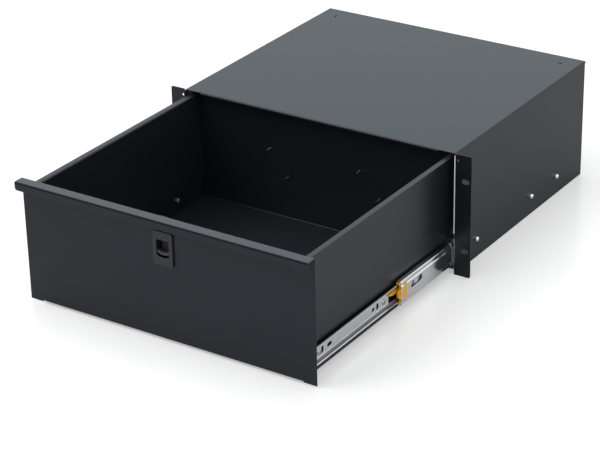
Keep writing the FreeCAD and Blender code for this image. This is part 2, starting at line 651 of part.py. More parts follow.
def folded(path, thickness, bend, material):
    """Outline of folded sheet: one face runs along path, the material lies to its left (1) or right (-1).

    Bends are square or at 45 degrees, so their directions hold when a size changes.
    """
    points = [vector(as_size(across).value, as_size(up).value) for across, up in path]
    count = len(points)
    ways = [(points[index + 1] - points[index]).normalize() for index in range(count - 1)]
    normals = [vector(-way.y, way.x) * material for way in ways]
    face, offset = [], []
    for index, (across, up) in enumerate(path):
        first = normals[max(index - 1, 0)]
        second = normals[min(index, count - 2)]
        mitre = (first + second) * (1 / (1 + first.dot(second)))
        shifted = [across + thickness * round(mitre.x, 6), up + thickness * round(mitre.y, 6)]
        if index in (0, count - 1):
            face.append((across, up))
            offset.append(tuple(shifted))
            continue
        bends_in = ways[index - 1].cross(ways[index]).z * material > 0
        face.append((across, up, bend + thickness if bends_in else bend))
        offset.append((*shifted, bend if bends_in else bend + thickness))
    return face + offset[::-1]


def checked_change(body, feature, removes):
    """Recomputes and stops where a feature did not add or remove material as it should."""
    before = body.Tip.Shape.Volume if body.Tip and body.Tip is not feature else 0.0
    body.Tip = feature
    DOCUMENT.recompute()
    change = feature.Shape.Volume - before
    if removes and change > -1e-3 or not removes and change < 1e-3:
        raise RuntimeError(f"{feature.Label} changed the volume by {change:.3f}")


def pad(body, sketch, length, reverse=False):
    """Extrudes a sketch along its normal, or against it."""
    previous = body.Tip if body.Tip is not sketch else None
    feature = body.newObject("PartDesign::Pad", sketch.Label + "_pad")
    feature.Profile = sketch
    feature.Type = 0
    feature.Reversed = reverse
    feature.setExpression("Length", as_size(length).text)
    sketch.Visibility = False
    body.Tip = previous
    checked_change(body, feature, False)
    return feature


def cut(body, sketch, depth):
    """Cuts a sketch through the sheet that it lies in the middle of."""
    previous = body.Tip
    feature = body.newObject("PartDesign::Pocket", sketch.Label + "_cut")
    feature.Profile = sketch
    feature.Type = 0
    feature.Midplane = True
    feature.setExpression("Length", as_size(depth).text)
    sketch.Visibility = False
    body.Tip = previous
    checked_change(body, feature, True)
    return feature


def turn(body, sketch, axis):
    """Revolves a half profile about the sketch's own axis."""
    previous = body.Tip
    feature = body.newObject("PartDesign::Revolution", sketch.Label + "_turned")
    feature.Profile = sketch
    feature.ReferenceAxis = (sketch, [axis])
    feature.Angle = 360.0
    sketch.Visibility = False
    body.Tip = previous
    checked_change(body, feature, False)
    return feature


def mirror_features(body, features, label):
    """Repeats features on the other side of the middle plane, in the same body."""
    previous = body.Tip
    feature = body.newObject("PartDesign::Mirrored", label)
    feature.Originals = features
    feature.MirrorPlane = (origin_plane(body, "YZ_Plane"), [""])
    removes = features[0].TypeId == "PartDesign::Pocket"
    body.Tip = previous
    checked_change(body, feature, removes)
    return feature


def round_edges(body, label, radius, chosen):
    """Fillets the edges of the body's tip for which chosen(edge) holds."""
    base = body.Tip
    names = [f"Edge{index + 1}" for index, edge in enumerate(base.Shape.Edges) if chosen(edge)]
    if not names:
        raise RuntimeError(f"{label} found no edge")
    feature = body.newObject("PartDesign::Fillet", label)
    feature.Base = (base, names)
    feature.setExpression("Radius", as_size(radius).text)
    body.Tip = feature
    DOCUMENT.recompute()
    return feature


def bar(body, label, plane, at, corners, length, reverse=None):
    """Extrudes an outline from at. An XZ outline runs to the back."""
    sketch = start_sketch(body, label, plane, at)
    outline(sketch, corners)
    return pad(body, sketch, length, plane == "XZ_Plane" if reverse is None else reverse)


def opposite_hand(source, label):
    """Makes the left-hand twin of a right-hand sub-part."""
    twin = DOCUMENT.addObject("Part::Mirroring", label)
    twin.Label = label
    twin.Source = source
    twin.Normal = FreeCAD.Vector(1, 0, 0)
    twin.Base = FreeCAD.Vector(0, 0, 0)
    PIECES.append(twin)
    return twin


def near(value, size):
    return abs(value - as_size(size).value) < 1e-4


# ---------------------------------------------------------------- sleeve


def cabinet_shell():
    """Top, sides, ears and rear flanges of the sleeve, folded from one sheet."""
    body = start_body("cabinet_shell")
    corner = shell_sheet + shell_bend
    start = ear_front + corner
    flat_half = shell_half - corner
    plan = [
        (-flat_half, ear_front),
        (-hem_half, ear_front),
        (-hem_half, start),
        (hem_half, start),
        (hem_half, ear_front),
        (flat_half, ear_front),
        (flat_half, shell_back),
        (-flat_half, shell_back),
    ]
    bar(body, "top_sheet", "XY_Plane", (0, 0, top_under), plan, shell_sheet)
    overlap = corner * 1.2
    edge_path = [
        (shell_half - overlap, half_ear),
        (shell_half, half_ear),
        (shell_half, half_ear - overlap),
    ]
    edge_profile = folded(edge_path, shell_sheet, shell_bend, -1)
    top_bend = bar(body, "top_bend", "XZ_Plane", (0, ear_front, 0), edge_profile, shell_depth)
    side_path = [
        (shell_half - rear_flange, shell_back),
        (shell_half, shell_back),
        (shell_half, 0),
        (shell_half + overlap, 0),
    ]
    profile = folded(side_path, shell_sheet, shell_bend, -1)
    side_height = ear_height - corner
    side = bar(body, "side", "XY_Plane", (0, 0, -half_ear), profile, side_height)
    ear = start_sketch(body, "ear_plate", "XZ_Plane", (0, ear_front, 0))
    rectangle(ear, shell_half + shell_bend, -half_ear, ear_width / 2, half_ear)
    ear_pad = pad(body, ear, shell_sheet, True)
    mirror_features(body, [top_bend, side, ear_pad], "other_side")

    hem_path = [(start + shell_sheet, half_ear), (ear_front, half_ear), (ear_front, hem_bottom)]
    hem = folded(hem_path, shell_sheet, shell_bend, 1)
    bar(body, "front_hem", "YZ_Plane", (-hem_half, 0, 0), hem, hem_half * 2)
    rear_half = shell_half - rear_corner_gap
    rear_path = [
        (shell_back - rear_flange, half_ear),
        (shell_back, half_ear),
        (shell_back, half_ear - rear_flange),
    ]
    rear = folded(rear_path, shell_sheet, shell_bend, -1)
    bar(body, "rear_hem", "YZ_Plane", (-rear_half, 0, 0), rear, rear_half * 2)

    slots = start_sketch(body, "rack_slots", "XZ_Plane", (0, -shell_sheet / 2, 0))
    for side_sign in (-1, 1):
        for row_sign in (-1, 1):
            across = slot_across / 2 * side_sign
            up = slot_up / 2 * row_sign
            end = slot_length / 2
            rise = slot_height / 2
            radius = slot_height * 0.49
            rectangle(slots, across - end, up - rise, across + end, up + rise, radius)
        circle(slots, (shell_half + relief_out) * side_sign, half_ear - relief_drop, relief_hole / 2)
    cut(body, slots, shell_sheet * 3)

    sides = start_sketch(body, "slide_screw_holes", "YZ_Plane", (shell_half - shell_sheet / 2, 0, 0))
    for place in screw_places:
        circle(sides, place, slide_z, screw_thread / 2 + hole_clear)
    holes = cut(body, sides, shell_sheet * 3)
    mirror_features(body, [holes], "other_screw_holes")

    top = start_sketch(body, "top_holes", "XY_Plane", (0, 0, half_ear - shell_sheet / 2))
    for side_sign in (-1, 1):
        across = (shell_half - top_hole_inset) * side_sign
        circle(top, across, shell_back - top_hole_from_rear, top_hole / 2)
    cut(body, top, shell_sheet * 3)

    def is_ear_corner(edge):
        box = edge.BoundBox
        across = near(box.YLength, shell_sheet)
        at_end = near(abs(box.XMin), ear_width / 2) and near(abs(box.XMax), ear_width / 2)
        return across and at_end

    round_edges(body, "ear_corners", ear_corner, is_ear_corner)
    return body


def rear_tie_bar():
    """Angle across the bottom of the rear opening, spot-welded to the sides by its tabs."""
    body = start_body("rear_tie_bar")
    low = -half_ear
    path = [
        (shell_back - shell_sheet - tie_depth, low),
        (shell_back - shell_sheet, low),
        (shell_back - shell_sheet, low + tie_height),
    ]
    half = shell_inner - shell_bend
    profile = folded(path, shell_sheet, shell_bend, 1)
    bar(body, "tie_angle", "YZ_Plane", (-half, 0, 0), profile, half * 2)
    tab_start = shell_back - shell_sheet - tie_depth
    tab_end = shell_back - shell_sheet * 3
    tab = start_sketch(body, "weld_tab", "YZ_Plane", (half - shell_sheet, 0, 0))
    outline(
        tab,
        [
            (tab_start, low),
            (tab_end, low),
            (tab_end, low + tie_tab),
            (tab_start, low + tie_tab, shell_bend * 3),
        ],
    )
    mirror_features(body, [pad(body, tab, shell_sheet + shell_bend)], "other_weld_tab")
    return body


# ---------------------------------------------------------------- slides


def outer_slide():
    """Outer member: a channel with curled lips, screwed inside the sleeve."""
    body = start_body("outer_slide_right")
    half = outer_height / 2
    path = [
        (outer_lip_from, half - outer_lip),
        (outer_lip_from, half),
        (slide_thickness, half),
        (slide_thickness, -half),
        (outer_lip_from, -half),
        (outer_lip_from, -half + outer_lip),
    ]
    profile = folded(path, slide_sheet, outer_bend, -1)
    bar(body, "outer_channel", "XZ_Plane", (tray_half, outer_front, slide_z), profile, slide_length)
    web = (tray_half + slide_thickness - slide_sheet / 2, 0, 0)
    holes = start_sketch(body, "outer_web_holes", "YZ_Plane", web)
    for place in screw_places:
        circle(holes, place, slide_z, screw_thread / 2 + hole_clear)
        adjuster = place + screw_head * 2
        rise = screw_head / 2
        thin = screw_thread / 2
        rectangle(holes, adjuster - thin, slide_z - rise, adjuster + thin, slide_z + rise, thin * 0.95)
    cut(body, holes, slide_sheet * 3)
    return body


def middle_slide():
    """Middle member: a stepped web between two ball tracks, its hook and clip window cut through."""
    body = start_body("middle_slide_right")
    half = middle_height / 2
    band = middle_band / 2
    crest = middle_face + middle_step
    upper = [
        (middle_lip_from, half - middle_lip),
        (middle_lip_from, half),
        (middle_face, half),
        (middle_face, band + middle_step),
        (crest, band),
    ]
    lower = [(across, -up) for across, up in reversed(upper)]
    profile = folded(upper + lower, slide_sheet, middle_bend, -1)
    bar(body, "middle_channel", "XZ_Plane", (tray_half, middle_front, slide_z), profile, middle_length)

    web = start_sketch(body, "web_openings", "YZ_Plane", (tray_half + middle_face, middle_front, slide_z))
    outline(web, clip_opening(0))
    tongue_from = hook_from + hook_bulb
    tongue_to = tongue_from + hook_tongue
    gate_to = tongue_to + hook_gate
    channel_top = hook_channel - hook_low
    hook = [
        (hook_from, -hook_low, hook_corner),
        (tongue_to + hook_gate / 3, -hook_low, hook_corner),
        (tongue_to + hook_gate / 2, -hook_low / 2, hook_corner),
        (gate_to, -hook_low / 2, hook_gate / 4),
        (gate_to, hook_high, hook_gate / 4),
        (tongue_to, hook_high, hook_gate / 4),
        (tongue_to, channel_top, hook_corner / 2),
        (tongue_from, channel_top, hook_corner / 2),
        (tongue_from, hook_high, hook_arm / 3),
        (tongue_from - hook_arm, hook_high, hook_arm / 3),
        (tongue_from - hook_arm, channel_top + hook_channel, hook_corner),
        (hook_from, channel_top, hook_corner),
    ]
    outline(web, hook)
    cut(body, web, (slide_sheet + middle_step) * 3)
    return body


def clip_opening(clear):
    """Corners of the clip window, from the middle member's front end, drawn in by a clearance."""
    half = clip_window_height / 2 - clear
    swell = clip_swell_height / 2 - clear
    back = clip_bridge + clip_swell + clip_window - clear
    step = clip_bridge + clip_swell + clear
    front = clip_bridge + clear
    corner = clip_corner - clear
    return [
        (step, -half, corner),
        (back, -half, corner),
        (back, half, corner),
        (step, half, corner),
        (step, swell, corner),
        (front, swell, corner),
        (front, -swell, corner),
        (step, -swell, corner),
    ]


def inner_slide():
    """Inner member: the shallow channel on the drawer's side, with its screw and lever openings."""
    body = start_body("inner_slide_right")
    half = inner_height / 2
    path = [(inner_reach, half), (0, half), (0, -half), (inner_reach, -half)]
    profile = folded(path, slide_sheet, inner_bend, 1)
    bar(body, "inner_channel", "XZ_Plane", (tray_half, inner_front, slide_z), profile, slide_length)
    web = start_sketch(body, "inner_web_openings", "YZ_Plane", (tray_half + slide_sheet / 2, 0, slide_z))
    for place in channel_places:
        circle(web, place, 0, screw_thread / 2 + hole_clear)
    thin, rise = web_slot / 2, web_slot_height / 2
    for back in (front_slot_at, back_slot_at):
        place = front_back_face + back
        rectangle(web, place - thin, -rise, place + thin, rise, thin * 0.95)
    high = web_oval_height / 2
    for back, length in ((front_oval_at, front_oval), (back_oval_at, back_oval)):
        place = front_back_face + back
        rectangle(web, place - length / 2, -high, place + length / 2, high, high * 0.95)
    gate_low = -(inner_height / 2 - inner_bend - slide_sheet)
    gate_to = lever_pivot_y - lever_tail * 1.25
    gate_high = lever_pivot_up + lever_tail * 0.6
    rectangle(web, gate_to - gate_length, gate_low, gate_to, gate_high, gate_corner)
    circle(web, lever_pivot_y, lever_pivot_up, lever_pin)
    cut(body, web, slide_sheet * 3)
    return body


def cage(label, section, front, length, ball, ball_at, ball_v, count):
    """Ball cage: a thin channel with a row of ball pockets in each flange."""
    body = start_body(label)
    path, sheet, bend = section
    profile = folded(path, sheet, bend, -1)
    bar(body, label + "_channel", "XZ_Plane", (tray_half, front, slide_z), profile, length)
    places = ball_places(front, length, count)
    for way, row in ((1, "upper"), (-1, "lower")):
        level = slide_z + ball_v * way
        pockets = start_sketch(body, f"{label}_{row}_pockets", "XY_Plane", (tray_half, 0, level))
        for place in places:
            circle(pockets, ball_at, place, ball / 2 + pocket_clear)
        cut(body, pockets, sheet * 3)
    return body


def ball_places(front, length, count):
    """Spreads a row of balls evenly along its cage."""
    pitch = (length - cage_end * 2) / (count - 1)
    return [front + cage_end + pitch * index for index in range(count)]


def balls(label, front, length, ball, ball_at, ball_v, count):
    """The two rows of balls that one cage carries."""
    body = start_body(label)
    for way in (1, -1):
        for place in ball_places(front, length, count):
            ball_feature = body.newObject("PartDesign::AdditiveSphere", label + "_ball")
            at = (tray_half + ball_at, place, slide_z + ball_v * way)
            place_on(ball_feature, body, "XY_Plane", at)
            ball_feature.setExpression("Radius", (ball / 2).text)
    DOCUMENT.recompute()
    return body


OUTER_BALLS = 5
INNER_BALLS = 5


def outer_cage_section():
    """Section of the outer cage, with its flanges in the middle of the ball gap."""
    web = outer_web - outer_cage_clear
    level = outer_ball_v + outer_cage_sheet / 2
    path = [(outer_cage_tip, level), (web, level), (web, -level), (outer_cage_tip, -level)]
    return path, outer_cage_sheet, outer_cage_sheet * 2


def inner_cage_section():
    """Section of the inner cage, with its flanges in the middle of the ball gap."""
    web = middle_face - slide_sheet - inner_cage_clear
    level = inner_ball_v + inner_cage_sheet / 2
    path = [(inner_cage_tip, level), (web, level), (web, -level), (inner_cage_tip, -level)]
    return path, inner_cage_sheet, inner_cage_sheet / 2


def end_clip():
    """Orange clip on the middle member's front end: plate, two horns, a springy loop and the window boss."""
    body = start_body("end_clip_right")
    plate_face = middle_face - slide_sheet
    horn_high = middle_track - middle_bend
    plate_from = middle_front - clip_clear
    plate_end = middle_front + clip_tail
    plate = [
        (plate_from, -horn_high),
        (plate_end, -horn_high),
        (plate_end, horn_high),
        (plate_from, horn_high),
    ]
    plate_at = (tray_half + plate_face - clip_wall, 0, slide_z)
    bar(body, "clip_plate", "YZ_Plane", plate_at, plate, clip_wall)
    horn_from = middle_lip_from + slide_sheet + clip_clear
    horn_low = horn_high - clip_horn_height
    round_off = clip_horn_height * 0.4
    for way, row in ((1, "upper"), (-1, "lower")):
        low, high = sorted((horn_low * way, horn_high * way), key=lambda size: size.value)
        horn = [
            (middle_front - clip_horn, low, round_off),
            (plate_end - clip_tail / 2, low, round_off),
            (plate_end - clip_tail / 2, high, round_off),
            (middle_front - clip_horn, high, round_off),
        ]
        at = (tray_half + horn_from, 0, slide_z)
        bar(body, row + "_horn", "YZ_Plane", at, horn, plate_face - horn_from)
    half = clip_loop / 2
    loop_outline = [
        (middle_front - clip_clear, -half),
        (middle_front - clip_clear, half),
        (middle_front - clip_reach, half * 0.6, clip_reach * 0.5),
        (middle_front - clip_reach, -half * 0.6, clip_reach * 0.5),
    ]
    rise = middle_step + slide_sheet + clip_wall
    bar(body, "loop", "YZ_Plane", plate_at, loop_outline, rise)
    slit = start_sketch(body, "loop_slit", "YZ_Plane", (tray_half + plate_face, 0, slide_z))
    slit_from = middle_front - clip_reach * 0.55
    rectangle(slit, slit_from, -half * 0.55, slit_from + clip_slit, half * 0.55, clip_slit * 0.4)
    cut(body, slit, rise * 3)
    boss = [(middle_front + along, *rest) for along, *rest in clip_opening(clip_clear)]
    bar(body, "window_boss", "YZ_Plane", plate_at, boss, clip_wall + slide_sheet + middle_step)
    return body


def release_lever():
    """Orange release lever in the inner channel: an eye on the rivet, tapering to a raised tip."""
    body = start_body("release_lever_right")
    at = (tray_half + lever_u, lever_pivot_y, lever_pivot_z)
    eye = start_sketch(body, "lever_eye", "YZ_Plane", at)
    circle(eye, 0, 0, lever_tail)
    pad(body, eye, lever_sheet)
    blade = [
        (0, lever_tail * 0.95),
        (-lever_reach * 0.45, lever_tail * 0.85, lever_reach),
        (-lever_reach * 0.97, lever_nose, 0.5),
        (-lever_reach, lever_nose * 0.4, 0.5),
        (-lever_reach * 0.66, -lever_tail * 0.8, lever_tail * 2),
        (0, -lever_tail * 0.95),
    ]
    bar(body, "lever_blade", "YZ_Plane", at, blade, lever_sheet)
    bore = start_sketch(body, "lever_bore", "YZ_Plane", (tray_half + lever_u + lever_sheet / 2, *at[1:]))
    circle(bore, 0, 0, lever_pin + lever_pin_clear)
    cut(body, bore, lever_sheet * 3)
    return body


def lever_rivet():
    """Rivet through the inner member's web that the release lever turns on."""
    body = start_body("lever_rivet_right")
    at = (tray_half, lever_pivot_y, lever_pivot_z)
    rivet = start_sketch(body, "rivet_profile", "XY_Plane", at)
    seat = lever_u + lever_sheet + lever_gap
    head = lever_pin * 1.7
    crown = seat + lever_pin * 0.7
    profile = [(0, 0), (crown, 0), (crown, head, lever_pin * 0.6), (seat, head), (seat, lever_pin), (0, lever_pin)]
    outline(rivet, profile)
    turn(body, rivet, "H_Axis")
    return body


def rear_bumper():
    """Rubber block at the back of the outer member that stops the middle member."""
    body = start_body("rear_bumper_right")
    half = bumper_height / 2
    face = [
        (outer_back - bumper_length, -half, 1.5),
        (outer_back, -half),
        (outer_back, half),
        (outer_back - bumper_length, half, 1.5),
    ]
    at = (tray_half + outer_web - bumper_depth, 0, slide_z)
    bar(body, "bumper_block", "YZ_Plane", at, face, bumper_depth)
    return body


# ---------------------------------------------------------------- fasteners


def screw(body, label, at, head_way, head_radius, head_height, thread_radius, reach, recess):
    """Pan-head screw along X: seat at the point at, head to +X (1) or -X (-1), thread the other way."""
    profile = start_sketch(body, label, "XY_Plane", at)
    dome = min(head_height, head_radius, key=lambda size: size.value) * 0.9
    outline(
        profile,
        [
            (-reach * head_way, 0),
            (-reach * head_way, thread_radius),
            (0, thread_radius),
            (0, head_radius),
            (head_height * head_way, head_radius, dome),
            (head_height * head_way, 0),
        ],
    )
    turn(body, profile, "H_Axis")
    if not recess:
        return
    x, y, z = at
    middle = x + (head_height - recess_depth / 2) * head_way
    cross = start_sketch(body, label + "_recess", "YZ_Plane", (middle, y, z))
    arm, half = recess_across / 2, recess_width / 2
    outline(
        cross,
        [
            (-arm, -half),
            (-half, -half),
            (-half, -arm),
            (half, -arm),
            (half, -half),
            (arm, -half),
            (arm, half),
            (half, half),
            (half, arm),
            (-half, arm),
            (-half, half),
            (-arm, half),
        ],
    )
    cut(body, cross, recess_depth)


def cabinet_slide_screws():
    """The three chromed screws that hold one outer member, seen on the sleeve's side."""
    body = start_body("cabinet_slide_screws_right")
    reach = shell_sheet + slide_sheet
    for index, place in enumerate(screw_places):
        at = (shell_half, place, slide_z)
        screw(body, f"side_screw_{index}", at, 1, screw_head / 2, screw_head_height, screw_thread / 2, reach, True)
    return body


def drawer_slide_screws():
    """The three screws in the inner channel that hold it to the tray."""
    body = start_body("drawer_slide_screws_right")
    reach = slide_sheet + tray_sheet + nut_height + thread_past_nut
    for index, place in enumerate(channel_places):
        at = (tray_half + slide_sheet, place, slide_z)
        head = screw_head / 2
        screw(body, f"channel_screw_{index}", at, 1, head, channel_head_height, screw_thread / 2, reach, True)
    return body


def hexagon(sketch, across, up, flats):
    """Draws a hexagon by its width across the flats."""
    flats = as_size(flats)
    corner_radius = flats / math.sqrt(3)
    points = []
    for index in range(6):
        turn_angle = math.radians(60 * index)
        points.append(
            (
                across + corner_radius * round(math.cos(turn_angle), 6),
                up + corner_radius * round(math.sin(turn_angle), 6),
            )
        )
    outline(sketch, points)


def drawer_slide_nuts():
    """The nuts on those screws, inside the tray."""
    body = start_body("drawer_slide_nuts_right")
    faces = start_sketch(body, "nut_faces", "YZ_Plane", (tray_inner - nut_height, 0, slide_z))
    for place in channel_places:
        hexagon(faces, place, as_size(0), nut_across)
        circle(faces, place, 0, screw_thread / 2)
    pad(body, faces, nut_height)
    return body


def stud_places():
    """Where the drawer front's four welded studs stand."""
    return [(stud_across / 2 * side, stud_up / 2 * row) for side in (-1, 1) for row in (-1, 1)]


def front_studs():
    """Studs welded to the back of the drawer front."""
    body = start_body("front_studs")
    ends = start_sketch(body, "stud_ends", "XZ_Plane", (0, front_back_face, 0))
    for across, up in stud_places():
        circle(ends, across, up, screw_thread / 2)
    pad(body, ends, tray_sheet + nut_height + thread_past_nut, True)
    return body


def front_nuts():
    """Nuts that pull the drawer front against the tray."""
    body = start_body("front_nuts")
    faces = start_sketch(body, "front_nut_faces", "XZ_Plane", (0, wall_back, 0))
    for across, up in stud_places():
        hexagon(faces, across, up, nut_across)
        circle(faces, across, up, screw_thread / 2)
    pad(body, faces, nut_height, True)
    return body


# ---------------------------------------------------------------- drawer


def drawer_front():
    """Drawer front with its pull lip, corner tabs and folded bottom edge."""
    body = start_body("drawer_front")
    lip_face = front_face - pull_depth
    path = [
        (lip_face, half_ear - pull_drop),
        (lip_face, half_ear),
        (front_back_face, half_ear),
        (front_back_face, front_low),
    ]
    profile = folded(path, front_sheet, front_bend, -1)
    bar(body, "lip_and_face", "YZ_Plane", (-front_half, 0, 0), profile, front_width)

    middle_y = front_face + front_sheet / 2
    notch = start_sketch(body, "bottom_notch", "XZ_Plane", (0, middle_y, 0))
    rectangle(notch, -return_half, front_low - 1, return_half, front_low + front_notch)
    cut(body, notch, front_sheet * 3)
    return_top = return_low + front_sheet
    bottom = [
        (front_back_face, front_low + front_notch),
        (front_back_face, return_top),
        (front_back_face + front_return, return_top),
    ]
    fold = folded(bottom, front_sheet, front_bend, -1)
    bar(body, "bottom_return", "YZ_Plane", (-return_half, 0, 0), fold, return_half * 2)

    opening_sketch = start_sketch(body, "latch_opening", "XZ_Plane", (0, middle_y, latch_z))
    latch_cutout(opening_sketch)
    cut(body, opening_sketch, front_sheet * 3)

    def is_lip_corner(edge):
        box = edge.BoundBox
        at_end = near(abs(box.XMin), front_half) and near(abs(box.XMax), front_half)
        return at_end and near(box.YLength, front_sheet) and near(box.ZMax, half_ear - pull_drop)

    round_edges(body, "lip_corners", pull_corner, is_lip_corner)
    return body


def latch_cutout(sketch):
    """Opening that the latch housing passes through, and the holes of its screws."""
    half = housing_width / 2 + housing_clear
    rise = housing_height / 2 + housing_clear
    rectangle(sketch, -half, -rise, half, rise)
    for across, up in latch_screw_places():
        circle(sketch, across, up, latch_screw / 2 + hole_clear)


def latch_screw_places():
    """The four latch screws, from the latch's middle."""
    up = bezel_height / 2 - latch_screw_in
    return [(latch_screw_out * side, up * row) for side in (-1, 1) for row in (-1, 1)]


def drawer_pan():
    """Front wall, floor and back wall of the tray, folded from one sheet, its floor edges turned down."""
    body = start_body("drawer_pan")
    front = front_back_face
    floor_path = [
        (-tray_inner, tray_low),
        (-tray_inner, floor_top),
        (tray_inner, floor_top),
        (tray_inner, tray_low),
    ]
    floor = folded(floor_path, tray_sheet, tray_bend, -1)
    clear = tray_bend + tray_sheet
    depth = tray_depth - clear * 2
    bar(body, "floor", "XZ_Plane", (0, front + clear, 0), floor, depth)

    floor_under = floor_top - tray_sheet
    wall_half = tray_inner
    overlap = clear * 2
    front_path = [
        (front, rim_top - tray_bend),
        (front, floor_under),
        (front + overlap, floor_under),
    ]
    wall = folded(front_path, tray_sheet, tray_bend, 1)
    bar(body, "front_wall", "YZ_Plane", (-wall_half, 0, 0), wall, wall_half * 2)
    back_path = [
        (tray_back - overlap, floor_under),
        (tray_back, floor_under),
        (tray_back, rim_top - tray_sheet),
        (tray_back + back_rim, rim_top - tray_sheet),
    ]
    back = folded(back_path, tray_sheet, tray_bend, 1)
    bar(body, "back_wall", "YZ_Plane", (-wall_half, 0, 0), back, wall_half * 2)

    holes = start_sketch(body, "knockout_holes", "XZ_Plane", (0, tray_back - tray_sheet / 2, knockout_z))
    for side in (-1, 1):
        circle(holes, knockout_across / 2 * side, 0, knockout / 2)
    cut(body, holes, tray_sheet * 3)
    corners = start_sketch(body, "floor_edge_notch", "YZ_Plane", (0, 0, 0))
    notch_high = tray_low + side_notch_up
    rectangle(corners, front, tray_low - 1, front + side_notch, notch_high)
    cut(body, corners, tray_inner * 2 + tray_sheet)
    wall_middle = front + tray_sheet / 2
    latch_hole = start_sketch(body, "pan_latch_opening", "XZ_Plane", (0, wall_middle, latch_z))
    latch_cutout(latch_hole)
    cut(body, latch_hole, tray_sheet * 3)
    studs = start_sketch(body, "stud_holes", "XZ_Plane", (0, wall_middle, 0))
    for across, up in stud_places():
        circle(studs, across, up, screw_thread / 2 + hole_clear)
    cut(body, studs, tray_sheet * 3)
    return body


def drawer_side():
    """Side of the tray with its outward rim and the relief at its lower front corner."""
    body = start_body("drawer_side_right")
    under_rim = rim_top - tray_sheet
    path = [(tray_half, tray_low), (tray_half, under_rim), (tray_half + tray_rim, under_rim)]
    profile = folded(path, tray_sheet, tray_bend, 1)
    bar(body, "side_and_rim", "XZ_Plane", (0, front_back_face, 0), profile, tray_depth + side_past_back)
    wall_middle = tray_half - tray_sheet / 2
    holes = start_sketch(body, "side_holes", "YZ_Plane", (wall_middle, 0, 0))
    for place in channel_places:
        circle(holes, place, slide_z, screw_thread / 2 + hole_clear)
    notch_from = front_back_face - 1
    notch_to = front_back_face + side_notch
    rectangle(holes, notch_from, tray_low - 1, notch_to, tray_low + side_notch_up)
    cut(body, holes, tray_sheet * 3)
    return body


def cable_knockouts():
    """The two part-sheared discs in the tray's back, each still held by its ties."""
    body = start_body("cable_knockouts")
    for side, name in ((-1, "left"), (1, "right")):
        at = (knockout_across / 2 * side, tray_back - tray_sheet, knockout_z)
        disc = start_sketch(body, name + "_disc", "XZ_Plane", at)
        circle(disc, 0, 0, knockout / 2 - knockout_gap)
        pad(body, disc, tray_sheet, True)
        tie = start_sketch(body, name + "_ties", "XZ_Plane", at)
        reach = knockout / 2 - knockout_gap * 0.1
        half = knockout_tie / 2
        rectangle(tie, -half, -reach, half, reach)
        pad(body, tie, tray_sheet, True)
    return body


# ---------------------------------------------------------------- slam latch


def latch_housing():
    """Bezel with its finger window, and the housing behind it that guides the bolt."""
    body = start_body("latch_housing")
    bezel = start_sketch(body, "bezel", "XZ_Plane", (0, front_face - bezel_proud, latch_z))
    half, rise = bezel_width / 2, bezel_height / 2
    rectangle(bezel, -half, -rise, half, rise, bezel_corner)
    pad(body, bezel, bezel_proud, True)
    box = start_sketch(body, "housing", "XZ_Plane", (0, front_face, latch_z))
    half, rise = housing_width / 2, housing_height / 2
    rectangle(box, -half, -rise, half, rise, housing_wall / 2)
    pad(body, box, front_sheet + housing_depth, True)

    window = start_sketch(body, "window", "XZ_Plane", (0, front_face - bezel_proud / 2, window_z))
    half, rise = window_width / 2, window_height / 2
    corner = window_corner
    outline(
        window,
        [
            (-half, -rise, corner),
            (-half * 0.4, -rise - window_sag, half),
            (half * 0.4, -rise - window_sag, half),
            (half, -rise, corner),
            (half, rise, corner),
            (-half, rise, corner),
        ],
    )
    cut(body, window, bezel_proud * 3)
    cavity_front = front_face - bezel_proud + bezel_wall
    cavity_depth = latch_back - cavity_front
    cavity_middle = cavity_front + cavity_depth / 2
    cavity = start_sketch(body, "cavity", "XZ_Plane", (0, cavity_middle, 0))
    cavity_half = housing_width / 2 - housing_wall
    rectangle(cavity, -cavity_half, cavity_bottom, cavity_half, window_z + window_height / 2)
    cut(body, cavity, cavity_depth * 1.01)

    guide_half = bolt_width / 2 + bolt_clear
    guide = start_sketch(body, "bolt_guide", "XY_Plane", (0, 0, latch_z + housing_height / 4))
    rectangle(guide, -guide_half, bolt_front - bolt_clear, guide_half, bolt_back + bolt_clear)
    cut(body, guide, housing_height)
    return body


def latch_back_plate():
    """Plate that closes the housing behind the bolt."""
    body = start_body("latch_back_plate")
    half, rise = housing_width / 2, housing_height / 2
    plate = start_sketch(body, "back_plate", "XZ_Plane", (0, latch_back, latch_z))
    rectangle(plate, -half, -rise, half, rise, housing_wall / 2)
    pad(body, plate, back_plate, True)
    return body


def latch_bolt():
    """Bolt with the bevel that the sleeve's hem pushes down as the drawer shuts."""
    body = start_body("latch_bolt")
    profile = [
        (bolt_front, trigger_bottom),
        (bolt_back, trigger_bottom),
        (bolt_back, bolt_top - bolt_bevel, 0.8),
        (bolt_front + bolt_depth * 0.2, bolt_top, 0.5),
        (bolt_front, bolt_top),
    ]
    bar(body, "bolt_bar", "YZ_Plane", (-bolt_width / 2, 0, 0), profile, bolt_width)
    return body


def latch_trigger():
    """Finger trigger fixed to the bolt's foot: a crescent pad along the window's rounded bottom."""
    body = start_body("latch_trigger")
    front = front_face - bezel_proud + bezel_wall + bolt_clear
    half = housing_width / 2 - housing_wall - bolt_clear
    at = (0, front, trigger_bottom)
    trigger = start_sketch(body, "trigger_face", "XZ_Plane", at)
    outline(
        trigger,
        [
            (-half, trigger_height - trigger_pad, trigger_pad / 5),
            (-half * 0.4, 0, half),
            (half * 0.4, 0, half),
            (half, trigger_height - trigger_pad, trigger_pad / 5),
            (half, trigger_height, trigger_pad / 5),
            (half * 0.4, trigger_pad, half),
            (-half * 0.4, trigger_pad, half),
            (-half, trigger_height, trigger_pad / 5),
        ],
    )
    pad(body, trigger, bolt_front - front, True)
    return body


